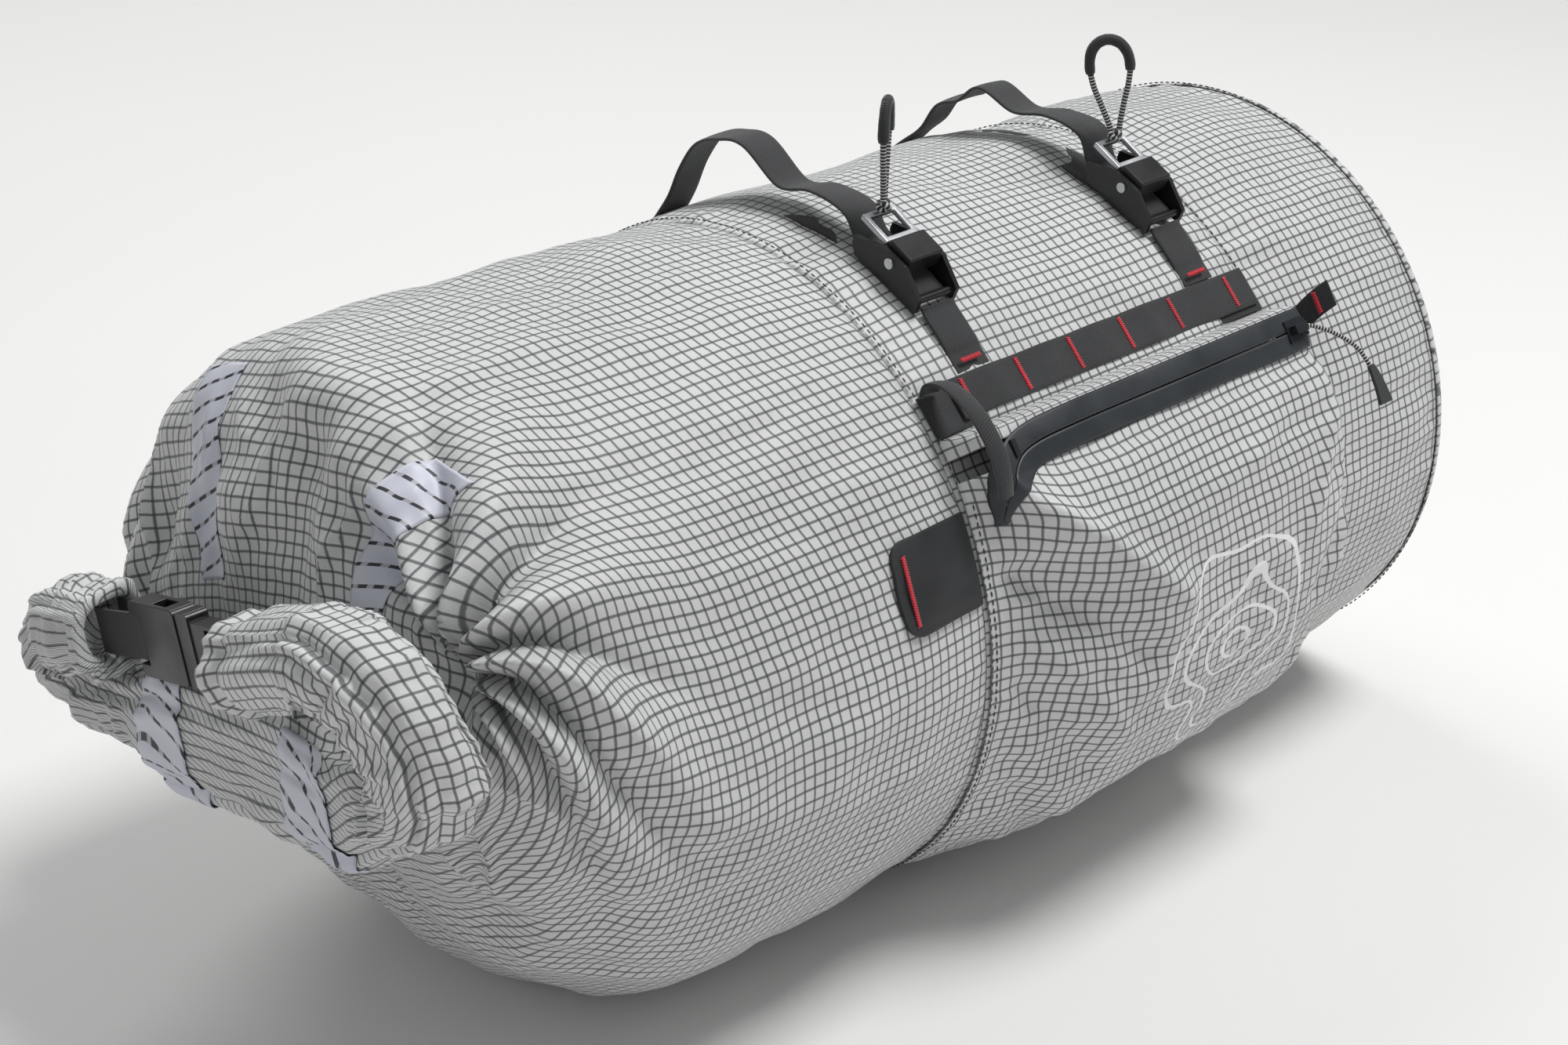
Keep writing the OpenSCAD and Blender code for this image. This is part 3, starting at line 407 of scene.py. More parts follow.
def build_grain_group():
    """Fine moulded or brushed grain with slight patches of wear, from object coordinates."""
    group, given, out = new_group(
        "Fine grain",
        [("Scale", "NodeSocketFloat", 900.0), ("Stretch", "NodeSocketVector", (1, 1, 1)),
         ("Colour", "NodeSocketColor", (0.02, 0.02, 0.02, 1)), ("Rough", "NodeSocketFloat", 0.45)],
        [("Colour", "NodeSocketColor"), ("Rough", "NodeSocketFloat"), ("Height", "NodeSocketFloat")])
    place = object_place(group)
    spread = vector_node(group, "MULTIPLY", place, given["Stretch"])
    grain = noise_node(group, spread, given["Scale"], 3.0)
    wear = noise_node(group, place, 60.0, 5.0)
    lift = remap(group, wear, 0.35, 0.75, 0.85, 1.35)
    tinted = vector_node(group, "MULTIPLY", given["Colour"], lift)
    group.links.new(tinted, out["Colour"])
    swing = remap(group, wear, 0.3, 0.7, -0.08, 0.1)
    group.links.new(math_node(group, "ADD", given["Rough"], swing), out["Rough"])
    group.links.new(grain, out["Height"])
    return group


def shared_group(name, build):
    return bpy.data.node_groups.get(name) or build()


def start_material(name, **sockets):
    """A material with its Principled shader, whose plain sockets are set here."""
    material = bpy.data.materials.get(f"sack_{name}")
    if material:
        return material, None, None
    material = bpy.data.materials.new(f"sack_{name}")
    material.use_nodes = True
    tree = material.node_tree
    tree.nodes.clear()
    shader = add(tree, "ShaderNodeBsdfPrincipled", {k.replace("_", " "): v for k, v in sockets.items()})
    add(tree, "ShaderNodeOutputMaterial", {"Surface": shader.outputs[0]})
    return material, tree, shader


def bump(tree, shader, height, strength, distance):
    node = add(tree, "ShaderNodeBump", {"Height": height, "Strength": strength, "Distance": distance})
    tree.links.new(node.outputs[0], shader.inputs["Normal"])


def srgb(red, green, blue):
    """A linear colour from 0 to 255 display values."""
    return tuple((c / 255 / 12.92 if c / 255 <= 0.04045 else ((c / 255 + 0.055) / 1.055) ** 2.4)
                 for c in (red, green, blue)) + (1.0,)


PRINT_CENTRE = (0.110, 0.004, 0.0)       # on the pocket's flat cloth


def ripstop(printed=False):
    """The sack's cloth; the pocket's has a plain print of wavy contour lines."""
    look = bpy.context.scene.sack_cloth
    name = "ripstop_printed" if printed else "ripstop"
    material, tree, shader = start_material(name, Roughness=0.5, Sheen_Weight=0.15, Specular_IOR_Level=0.35)
    if not tree:
        return material
    grid = add(tree, "ShaderNodeGroup", node_tree=shared_group("Ripstop grid", build_ripstop_group))
    grid.inputs["Cell"].default_value = look.cell
    grid.inputs["Line Share"].default_value = look.line_share
    grid.inputs["Cloth"].default_value = tuple(look.cloth_colour) + (1.0,)
    grid.inputs["Thread"].default_value = tuple(look.thread_colour) + (1.0,)
    colour = grid.outputs["Colour"]
    if printed:
        colour = contour_print(tree, colour)
    tree.links.new(colour, shader.inputs["Base Color"])
    bump(tree, shader, grid.outputs["Height"], 0.5, 0.00025)
    return material


def contour_print(tree, colour):
    """Adds thin wavy rings, like the height lines of a round hill, in white ink."""
    cloth_map = add(tree, "ShaderNodeUVMap", uv_map="cloth").outputs[0]
    away = vector_node(tree, "SUBTRACT", cloth_map, PRINT_CENTRE)
    squeezed = vector_node(tree, "MULTIPLY", away, (1.0, 0.8, 0.0))
    reach = add(tree, "ShaderNodeVectorMath", {0: squeezed}, operation="LENGTH").outputs["Value"]
    swell = noise_node(tree, cloth_map, 32.0, 0.0)
    height = math_node(tree, "MULTIPLY_ADD", swell, 0.035, reach)
    off = off_centre(tree, math_node(tree, "DIVIDE", height, 0.0085))
    ink = math_node(tree, "MULTIPLY", band(tree, off, 0.40, 0.43), band(tree, height, 0.055, 0.0545))
    ink = math_node(tree, "MULTIPLY", ink, 0.92)
    return mix_colour(tree, ink, colour, (0.9, 0.9, 0.9, 1))


def plain_webbing(name="webbing", rib=0.0011):
    material, tree, shader = start_material(name, Roughness=0.62, Sheen_Weight=0.3, Specular_IOR_Level=0.4)
    if tree:
        weave = add(tree, "ShaderNodeGroup", node_tree=shared_group("Webbing weave", build_weave_group))
        weave.inputs["Rib"].default_value = rib
        weave.inputs["Colour"].default_value = tuple(bpy.context.scene.sack_trim.web_colour) + (1.0,)
        tree.links.new(weave.outputs["Colour"], shader.inputs["Base Color"])
        bump(tree, shader, weave.outputs["Height"], 0.7, 0.0002)
    return material


def grained(name, colour, rough, scale=900.0, stretch=(1, 1, 1), depth=0.00006, strength=0.5, **sockets):
    """A moulded, coated or metal finish with fine grain."""
    material, tree, shader = start_material(name, **sockets)
    if tree:
        grain = add(tree, "ShaderNodeGroup", node_tree=shared_group("Fine grain", build_grain_group))
        grain.inputs["Scale"].default_value = scale
        grain.inputs["Stretch"].default_value = stretch
        grain.inputs["Colour"].default_value = srgb(*colour)
        grain.inputs["Rough"].default_value = rough
        tree.links.new(grain.outputs["Colour"], shader.inputs["Base Color"])
        tree.links.new(grain.outputs["Rough"], shader.inputs["Roughness"])
        bump(tree, shader, grain.outputs["Height"], strength, depth)
    return material


def black_plastic():
    return grained("black_plastic", (26, 26, 28), 0.36, Specular_IOR_Level=0.5)


def silver_metal():
    return grained("silver_metal", (196, 198, 200), 0.34, scale=500, stretch=(1, 6, 6), Metallic=0.85)


def gunmetal():
    return grained("gunmetal", (44, 46, 50), 0.38, scale=700, Metallic=0.5)


def rubber():
    return grained("rubber", (40, 41, 43), 0.55, scale=1400, depth=0.0001)


def coated_tape():
    return grained("zip_tape", (44, 48, 52), 0.42, scale=1600, depth=0.00005)


def red_thread():
    colour = [round(255 * (c * 12.92 if c < 0.0031 else 1.055 * c ** (1 / 2.4) - 0.055))
              for c in bpy.context.scene.sack_trim.tack_colour]
    return grained("red_thread", colour, 0.5, scale=2600, depth=0.0001, Sheen_Weight=0.3)


def dark_thread():
    return grained("dark_thread", (62, 64, 68), 0.6, scale=2600, depth=0.0001)


def flecked_cord():
    """Black cord with short pale flecks that run round it."""
    material, tree, shader = start_material("flecked_cord", Roughness=0.7, Sheen_Weight=0.2)
    if tree:
        xyz = cloth_place(tree)[1]
        lay = math_node(tree, "MULTIPLY_ADD", xyz[0], 420.0, math_node(tree, "MULTIPLY", xyz[1], 2.0))
        strand = math_node(tree, "SINE", math_node(tree, "MULTIPLY", lay, math.pi * 2))
        back = math_node(tree, "MULTIPLY_ADD", xyz[0], 420.0, math_node(tree, "MULTIPLY", xyz[1], -3.0))
        cross = math_node(tree, "SINE", math_node(tree, "MULTIPLY", back, math.pi * 2))
        fleck = band(tree, math_node(tree, "MULTIPLY", strand, cross), 0.62, 0.7)
        tree.links.new(mix_colour(tree, fleck, srgb(24, 25, 27), srgb(190, 190, 188)), shader.inputs["Base Color"])
        bump(tree, shader, strand, 0.6, 0.0002)
    return material


def reflective_film():
    """Silver film in slanted bars, with a dotted dark line between each two."""
    material, tree, shader = start_material("reflective_film", Roughness=0.5, Metallic=0.05)
    if tree:
        cloth_map, xyz = cloth_place(tree)
        slanted = math_node(tree, "MULTIPLY_ADD", xyz[1], 0.35, xyz[0])
        gap = band(tree, off_centre(tree, math_node(tree, "DIVIDE", slanted, 0.0078)), 0.40, 0.43)
        dots = band(tree, off_centre(tree, math_node(tree, "DIVIDE", xyz[1], 0.0058)), 0.16, 0.22)
        dark = math_node(tree, "MULTIPLY", gap, dots)
        pale = mix_colour(tree, gap, srgb(206, 208, 220), srgb(176, 177, 182))
        tree.links.new(mix_colour(tree, dark, pale, srgb(52, 54, 60)), shader.inputs["Base Color"])
        fine = noise_node(tree, cloth_map, 2400.0, 1.0)
        bump(tree, shader, math_node(tree, "MULTIPLY_ADD", gap, -0.6, fine), 0.4, 0.0001)
    return material


# ---------------------------------------------------------------- cloth surfaces

BODY_OF = {node: body for body, nodes in frame["record"]["behaviour"]["bodies"].items() for node in nodes}
FLOOR_Z = 0.3


def rested(points, lowest=FLOOR_Z):
    """Points laid flat where they would pass the floor."""
    points[..., 2] = np.maximum(points[..., 2], lowest)
    return points


def tube_panel(x0, x1, rows, columns, seed):
    """A panel between two seams: fuller in the middle, and puckered beside its seams."""
    x = np.linspace(x0, x1, rows)[:, None]
    angle = np.linspace(-90, 270, columns)[None, :]
    x, angle = np.broadcast_arrays(x, angle)
    points = rested(on_sack(x, angle, bag_r(x)))
    away = np.minimum(x - x0, x1 - x)
    fullness = 2.2 * ease(away / 34)
    swell = 1.5 * crumple(points, (70, 46, 46), seed) + 0.5 * crumple(points, (26, 17, 17), seed + 3)
    ripple = crumple(points, (38, 11, 11), seed + 1)
    pucker = (1.5 * np.exp(-away / 11) + 0.35) * ripple * ease(away / 5)
    lift = fullness + swell * ease(away / 30) + pucker - 0.9 * np.exp(-away / 2.5)
    points = points + unit(points - np.stack([x, 0 * x, 0 * x + AXIS_H], axis=-1)) * lift[..., None]
    flat = np.stack([x - x0, np.radians(angle - 90) * (R_SEAM + 1)], axis=-1)
    return rested(points), flat


# How the roll end closes: x from the mouth, how far side, top and underside are drawn in from the
# seam's radius, shift in y, and the share of the roll's tilt
CLOSING = [(0, 34, 96, 114, -8, 1), (3, 26, 70, 106, -7, 0.9), (6, 20, 50, 96, -6, 0.8), (14, 12, 28, 80, -5, 0.65),
           (24, 5, 13, 64, -3, 0.45), (36, -1, 5, 46, -1, 0.25), (56, -4, 1, 24, 0, 0.1), (84, -4, 0, 7, 0, 0),
           (130, -2, 0, 2, 0, 0), (196, 0, 0, 0, 0, 0)]
CLOSING_RUN = 305.0      # length of the roll-end panel from the mouth to the seam
RIDGE = 112.0            # distance from the mouth to the ridge round the end face
CLOSING_PATH = even_path(smooth_path(CLOSING, 12), 200)
ROLL_TILT = 15.0
# Folds that fan out from the roll's end: direction, width in degrees, height, reach; positive stands proud
FAN = [(-80, 6, -5, 80), (-66, 7, 6, 100), (-53, 4, -8, 105), (-42, 6, 7, 115), (-30, 3.4, -9, 110),
       (-19, 5.5, 9, 120), (-7, 3.2, -10, 105), (4, 5.5, 10, 125), (16, 3.2, -10, 115), (28, 6, 9, 120),
       (41, 3.8, -9, 105), (55, 7, 7, 110), (71, 6, -6, 85)]


def closing_at(row):
    """The closing values at a row from 0, the mouth, to 1, the seam."""
    place = np.clip(row, 0, 1) * (len(CLOSING_PATH) - 1)
    return [np.interp(place, np.arange(len(CLOSING_PATH)), column) for column in CLOSING_PATH.T]


def closing_base(row, turn):
    """The roll-end panel without folds; turn is the ring angle from +Y up to the top."""
    x, in_side, in_top, in_under, shift, share = closing_at(row)
    half, top, under = R_SEAM - in_side, R_SEAM - in_top, in_under - R_SEAM
    tilt, a = np.radians(-ROLL_TILT * share), np.radians(turn)
    y, z = half * np.cos(a), (top - under) / 2 * np.sin(a)
    points = np.stack(np.broadcast_arrays(MOUTH + x, shift + y * np.cos(tilt) - z * np.sin(tilt),
                                          AXIS_H + (top + under) / 2 + y * np.sin(tilt) + z * np.cos(tilt)), axis=-1)
    return rested(points)


def closing_surface(row, turn, lift=0.0):
    """The roll-end panel with its pleats and lumps, at grids of row and ring angle."""
    row, turn = np.broadcast_arrays(row, turn)
    points = closing_base(row, turn)
    after, before = np.clip(row + 0.004, 0, 1), np.clip(row - 0.004, 0, 1)
    normal = unit(np.cross(closing_base(after, turn) - closing_base(before, turn),
                           closing_base(row, turn - 0.6) - closing_base(row, turn + 0.6)))
    along = row * CLOSING_RUN
    ridge = lump(along, RIDGE, 34)
    away = CLOSING_RUN - along
    d = 1.6 * crumple(points, (60, 40, 40), 11) * ease(along / 60) * ease(away / 30)
    d = d + ridge * (3.0 * crumple(points, (60, 34, 34), 12) + 2.0)
    d = d + 0.8 * crumple(points, (30, 15, 15), 13) * ease(away / 40)
    d = d + 1.5 * np.exp(-away / 11) * ease(away / 5) * crumple(points, (38, 11, 11), 14) - 0.9 * np.exp(-away / 2.5)
    d = d + 2.0 * ease(away / 40)
    # the folds that gather into the two ends of the roll
    for centre, start, side, strength in ((152.0, 40.0, -1, 1.3), (-4.0, 26.0, 1, 0.8)):
        across = (turn - centre + 180) % 360 - 180
        arc = np.radians(across) * RIDGE * side
        reach = np.hypot(along - start, arc)
        way = np.degrees(np.arctan2(arc, along - start))
        for angle, width, height, length in FAN:
            body = ease(reach / 34) * np.exp(-(reach / length) ** 2)
            d = d + strength * height * lump(way, angle + 2 * np.sin(reach / 30 + angle), width) * body
        d = d - strength * 9 * lump(reach, 0, 22)
    # softer folds that run down the end face, from the ridge to the roll
    face = lump(along, 66, 34)
    d = d + face * 3.4 * crumple(points, (90, 17, 60), 15)
    d = d + face * 3.0 * (creases(crumple(points, (120, 30, 90), 16)) - 0.25)
    return rested(points + normal * (d + lift)[..., None])


# ---------------------------------------------------------------- the roll top

ROLL_AT = np.array([MOUTH - 10.3, -8.0, AXIS_H + 25.0])
ROLL_T = 20.0
TUBE_Z, TUBE_OFF = 21.0, 14.0


def roll_bend(y, r, side, a):
    return (y + side * r * math.cos(math.radians(a)), TUBE_Z - r + r * math.sin(math.radians(a)),
            TUBE_OFF * float(ease((a + 90) / 180)))


ROLL_ROUTE = ([(-26, TUBE_Z, TUBE_OFF), (-38, TUBE_Z + 2.5, TUBE_OFF)]
              + [(y, z + 9, off) for y, z, off in (roll_bend(-76, 25, -1, a) for a in range(90, -91, -20))]
              + [(-52, -25, 0), (-25, -20, 0), (5, -17, 0), (35, -15, 0), (62, -13.5, 0)]
              + [roll_bend(86, 17, 1, a) for a in range(-90, 91, 20)] + [(60, TUBE_Z, TUBE_OFF)])
ROLL_LINE = even_path(smooth_path(ROLL_ROUTE, 10), 400)
ROLL_LENGTH = travelled(ROLL_LINE)[-1]


def in_roll(points):
    """From the roll's own frame (x off the sack, y along it, z up) to the sack's."""
    c, s = math.cos(math.radians(-ROLL_TILT)), math.sin(math.radians(-ROLL_TILT))
    x, y, z = points[..., 0], points[..., 1], points[..., 2]
    return np.stack([x, y * c - z * s, y * s + z * c], axis=-1) + ROLL_AT


def roll_surface(place, turn, lift=0.0, shrink=1.0, rough=1.0):
    """The roll at a distance along it and a turn round it; 180 degrees faces away from the sack."""
    place, turn, shrink = np.broadcast_arrays(place, turn, shrink)
    along = travelled(ROLL_LINE)
    y, z, off = (np.interp(place, along, ROLL_LINE[:, k]) for k in range(3))
    dy = np.interp(place + 1, along, ROLL_LINE[:, 0]) - np.interp(place - 1, along, ROLL_LINE[:, 0])
    dz = np.interp(place + 1, along, ROLL_LINE[:, 1]) - np.interp(place - 1, along, ROLL_LINE[:, 1])
    size = np.maximum(np.hypot(dy, dz), 1e-6)
    dy, dz = dy / size, dz / size
    height = 30 + 16 * ease((75 - np.abs(y)) / 35) * ease((-5 - z) / 6)
    a = np.radians(turn)
    c, s = np.cos(a), np.sin(a)
    spot = np.stack([place, turn * 0.35, 0 * place], axis=-1)
    layers = 1.6 * crumple(spot, (62, 7, 1), 21) + 1.3 * crumple(spot, (26, 16, 1), 22)
    ends = np.minimum(place, ROLL_LENGTH - place)
    lip = -1.8 * lump(ends, 9, 3.5) + 0.8 * lump(ends, 3, 3)
    groove = -2.2 * lump(turn, 228, 6) * ease(ends / 70) - 1.4 * lump(turn, 140, 5) * ease(ends / 70)
    gathered = 2.0 * crumple(spot, (7, 34, 1), 23) * ease((np.abs(y) - 62) / 20)
    grow = shrink + (rough * (layers + lip + groove + gathered) + lift) / 15.0 * (shrink > 0.95)
    u = height / 2 * np.sign(c) * np.abs(c) ** 0.7 * grow
    v = ROLL_T / 2 * np.sign(s) * np.abs(s) ** 0.7 * grow
    v = np.where(v < 0, v * 1.9, v)
    return in_roll(np.stack([-off + v, y - dz * u, z + dy * u], axis=-1))


# ---------------------------------------------------------------- the pocket

POCKET_L, POCKET_R = SEAM_L + 1, SEAM_R + 1
WEB_A = math.degrees(WEB_W / 2 / (R_SEAM - 2.25 + WEB_T))
ZIP_HALF = math.degrees((0.8 + 7) / ZIP_R)
ZIP_LO, ZIP_HI = ZIP_AT - ZIP_HALF, ZIP_AT + ZIP_HALF
STRIP_TOP = DAISY_AT - WEB_A - 1.3
POCKET_MID_R = 140.0    # radius at which the pocket's folds are measured
FOLD_FADE = 14.0        # length over which a fold fades in
# Folds of the pocket: height, start, end as x and angle, and width; positive stands proud
FOLDS = [(4.2, (-78, 27), (-8, 4), 5.5), (-5.0, (-82, 20), (-22, -4), 6.5), (2.8, (-76, 8), (-30, -16), 5),
         (-2.6, (-80, 0), (-34, -24), 5), (2.2, (-74, -12), (-36, -34), 5), (-2.2, (-72, -20), (-40, -44), 5),
         (2.0, (84, 26), (52, 4), 4), (-2.2, (86, 14), (60, -8), 4), (-1.6, (86, -4), (64, -24), 4),
         (1.4, (60, 26), (20, 18), 5)]
# How far the pocket stands off the sack at each angle
CROWN = [(-66, 0.8), (-60, 3), (-46, 10), (-30, 18), (-15, 24), (5, 28), (20, 27)]


def pocket_height(x, angle):
    """How far the pocket stands off the sack."""
    r = bag_r(x)
    crown = np.interp(angle, *zip(*CROWN))
    crown = np.where(angle > 20, 27 + (ZIP_R - r + 3 - 27) * np.clip((angle - 20) / (ZIP_LO - 23), 0, 1), crown)
    crown = np.where(angle > ZIP_LO - 3, ZIP_R - r + 3 * np.clip((ZIP_LO - 0.3 - angle) / 2.7, 0, 1), crown)
    crown = np.where(angle > ZIP_HI + 0.3,
                     0.8 + (ZIP_R - r - 0.8) * np.clip((STRIP_TOP - angle) / (STRIP_TOP - ZIP_HI - 0.3), 0, 1), crown)
    rise_l = np.interp(angle, [-60, -46, -10, 10, 20, ZIP_AT - 4, ZIP_AT + 6], [30, 45, 65, 60, 34, 12, 12])
    rise_r = np.interp(angle, [-60, -20, ZIP_AT], [30, 16, 9])
    return 0.8 + (crown - 0.8) * ease((x - POCKET_L + 1) / rise_l) * ease((POCKET_R + 2 - x) / rise_r)


def fold_line(x, angle, start, end, width):
    """A fold between two places on the pocket, fading at both ends."""
    ax, ay = start[0], math.radians(start[1]) * POCKET_MID_R
    bx, by = end[0], math.radians(end[1]) * POCKET_MID_R
    px, py = x - ax, np.radians(angle) * POCKET_MID_R - ay
    dx, dy = bx - ax, by - ay
    length = math.hypot(dx, dy)
    t = (px * dx + py * dy) / length
    off = (px * -dy + py * dx) / length
    return lump(off, 0, width) * ease(t / FOLD_FADE) * ease((length - t) / FOLD_FADE)


def pocket_surface(x, angle, lift=0.0):
    """The pocket's cloth, with its folds, at grids of x and angle."""
    x, angle = np.broadcast_arrays(np.asarray(x, float), np.asarray(angle, float))
    h = pocket_height(x, angle)
    flat = on_sack(x, angle, POCKET_MID_R)
    free = ease((x - POCKET_L) / 14) * ease((POCKET_R - x) / 10) * ease((angle + 66) / 12) * ease((ZIP_LO - angle) / 4)
    d = 1.5 * crumple(flat, (44, 30, 30), 31) + 0.7 * crumple(flat, (19, 13, 13), 32)
    for height, start, end, width in FOLDS:
        d = d + height * fold_line(x, angle, start, end, width)
    edge = np.minimum(x - POCKET_L, POCKET_R - x)
    d = d + 1.6 * np.exp(-edge / 12) * crumple(flat, (30, 8, 8), 33)
    d = d - 1.2 * lump(angle, ZIP_LO - 1.6, 0.7)
    r = bag_r(x) + np.maximum(h + d * free, 0.9) + lift
    return on_sack(x, angle, r)


# ---------------------------------------------------------------- sizes and colours a user may change

class SackCloth(bpy.types.PropertyGroup):
    """The ripstop cloth."""
    cell: bpy.props.FloatProperty(name="Grid pitch", description="Distance between two of the thicker threads",
                                  default=0.0043, min=0.002, max=0.01, precision=4, unit="LENGTH")
    line_share: bpy.props.FloatProperty(name="Thread width", description="Share of the pitch that a thick thread takes",
                                        default=0.2, min=0.05, max=0.5, subtype="FACTOR")
    cloth_colour: bpy.props.FloatVectorProperty(name="Cloth", description="Colour of the plain cloth", size=3,
                                                subtype="COLOR", default=(0.64, 0.645, 0.64), min=0, max=1)
    thread_colour: bpy.props.FloatVectorProperty(name="Grid threads", description="Colour of the thicker threads",
                                                 size=3, subtype="COLOR", default=(0.045, 0.048, 0.056), min=0, max=1)


class SackTrim(bpy.types.PropertyGroup):
    """The webbing, its tacks and the cords."""
    web_colour: bpy.props.FloatVectorProperty(name="Webbing", description="Colour of the straps and tabs", size=3,
                                              subtype="COLOR", default=(0.0155, 0.0165, 0.0185), min=0, max=1)
    tack_colour: bpy.props.FloatVectorProperty(name="Bar tacks", description="Colour of the bar tacks' thread", size=3,
                                               subtype="COLOR", default=(0.62, 0.006, 0.026), min=0, max=1)
    cord_radius: bpy.props.FloatProperty(name="Cord radius", description="Radius of the two pull cords",
                                         default=0.0011, min=0.0008, max=0.0013, precision=4, unit="LENGTH")


# ---------------------------------------------------------------- operators

class SACK_OT_panels(bpy.types.Operator):
    """Sews the centre, far and roll-end panels"""
    bl_idname = "sack.panels"
    bl_label = "Sack panels"

    def execute(self, context):
        centre, flat = tube_panel(SEAM_L, SEAM_R, 89, 397, 1)
        cloth_piece("centre_cloth", centre, ripstop(), ("centre_panel",), flat, ring=True)
        far, flat = tube_panel(SEAM_R, X_END, 45, 397, 5)
        cloth_piece("far_cloth", far, ripstop(), ("far_panel",), flat, ring=True)
        row = np.linspace(0.0, 1.0, 112)[:, None]
        turn = np.linspace(270, -90, 397)[None, :]
        closing = closing_surface(row, turn)
        cloth_piece("roll_end_cloth", closing, ripstop(), ("roll_end_panel",),
                    flat=flat_of(closing_base(*np.broadcast_arrays(row, turn)), middle=198), ring=True)
        return {"FINISHED"}


class SACK_OT_end(bpy.types.Operator):
    """Closes the far end with its round panel"""
    bl_idname = "sack.end"
    bl_label = "End disc"

    def execute(self, context):
        angle = np.linspace(-90, 270, 361)[None, :]
        depth = X_TIP - X_END
        profile = smooth_path([(X_END, R_END), (X_END + 2.5, R_END - 0.4), (X_END + 6, R_END - 3),
                               (X_END + 8.6, R_END - 9), (X_END + 9.6, R_END - 22), (X_END + 10.4, R_END - 60),
                               (X_END + depth - 0.5, 3)], 9)
        profile = even_path(profile, 66)
        x, r = profile[:, :1], profile[:, 1:]
        x, r, angle = np.broadcast_arrays(x, r, angle)
        points = rested(on_sack(x, angle, r))
        centred = r / R_END
        lift = 1.6 * crumple(points, (60, 34, 34), 41) * ease((1 - centred) * 6)
        lift = lift + 1.1 * lump(centred, 0.9, 0.07) * crumple(points, (60, 10, 10), 42) * ease((1 - centred) * 14)
        points[..., 0] += lift
        flat = np.stack([points[..., 1], points[..., 2]], axis=-1)
        cloth_piece("end_cloth", points, ripstop(), ("end_disc",), flat=flat, ring=True)
        return {"FINISHED"}


class SACK_OT_seams(bpy.types.Operator):
    """Adds the taped seams inside and the stitched lines outside"""
    bl_idname = "sack.seams"
    bl_label = "Seams"

    def execute(self, context):
        angle = np.linspace(-90, 270, 181)[None, :]
        for side, x in (("left", SEAM_L), ("right", SEAM_R)):
            xs = np.linspace(x - 8, x + 8, 9)[:, None]
            inside = rested(on_sack(xs, angle, bag_r(x + 8) - 1.6), 4)
            cloth_piece(f"seam_tape_{side}_film", inside, coated_tape(), (f"seam_tape_{side}",), ring=True,
                        wall=0.3)
        rows = []
        around = np.linspace(-62, 242, 300)
        for x, off, lift in ((SEAM_L, 1.4, 0.2), (SEAM_R, -1.4, 0.2), (X_END, -2.0, 0.3)):
            rows.append(on_sack(x + off, around, bag_r(x + off) + lift + 0.6))
        stitches("seam_stitching", rows, 0.3)
        return {"FINISHED"}


class SACK_OT_roll(bpy.types.Operator):
    """Rolls up the mouth, with its stiff strip inside"""
    bl_idname = "sack.roll"
    bl_label = "Roll top"

    def execute(self, context):
        turn = np.linspace(0, 360, 61)[None, :]
        body = np.linspace(0, ROLL_LENGTH, 230)
        place = np.concatenate([[9, 9, 4, 0.6], body, ROLL_LENGTH - np.array([0.6, 4, 9, 9])])
        shrink = np.concatenate([[0.05, 0.62, 0.66, 0.74], np.ones(len(body)), [0.74, 0.66, 0.62, 0.05]])
        points = roll_surface(place[:, None], turn, 0.0, shrink[:, None])
        plain = roll_surface(place[:, None], turn, 0.0, shrink[:, None], 0.0)
        cloth_piece("roll_cloth", points, ripstop(), ("roll_top",), flat_of(plain, 30), ring=True, wall=0)
        softened("mouth_stiffener", "mouth_strip", black_plastic(), bevel=0.3)
        return {"FINISHED"}


class SACK_OT_reflectors(bpy.types.Operator):
    """Lays the reflective film on the end face and on the roll"""
    bl_idname = "sack.reflectors"
    bl_label = "Reflective film"

    def execute(self, context):
        row = np.linspace(0.10, 0.39, 60)[:, None]
        across = np.linspace(0, 1, 15)[None, :]
        for side, lo, hi in (("left", 61, 71), ("right", 115, 125)):
            turn = hi + (lo - hi) * across + (row - 0.2) * (8 if side == "right" else -6)
            points = closing_surface(*np.broadcast_arrays(row, turn), 0.5)
            cloth_piece(f"film_{side}", points, reflective_film(), (f"reflective_strip_{side}",),
                        flat=flat_of(points), wall=0.25)
        for name, start, end in (("film_roll_right", 152, 180), ("film_roll_left", 236, 264)):
            place = np.linspace(start, end, 16)[None, :]
            turn = np.linspace(202, 326, 40)[:, None]
            points = roll_surface(*np.broadcast_arrays(place, turn), 0.5)
            cloth_piece(name, points[::-1], reflective_film(), flat=flat_of(points), wall=0.25)
        return {"FINISHED"}


class SACK_OT_buckle(bpy.types.Operator):
    """Rounds the side release buckle and threads its webbing"""
    bl_idname = "sack.buckle"
    bl_label = "Side release buckle"

    def execute(self, context):
        for node in ("buckle_female", "buckle_male", "buckle_prong_upper", "buckle_prong_lower"):
            softened(node, node + "_moulding", black_plastic(), BODY_OF[node],
                     0.7 if node[7] in "fm" else 0.3)
        for node in ("buckle_web_female", "buckle_web_male"):
            softened(node, node + "_strap", plain_webbing(), BODY_OF[node], 0.25, 2)
        return {"FINISHED"}


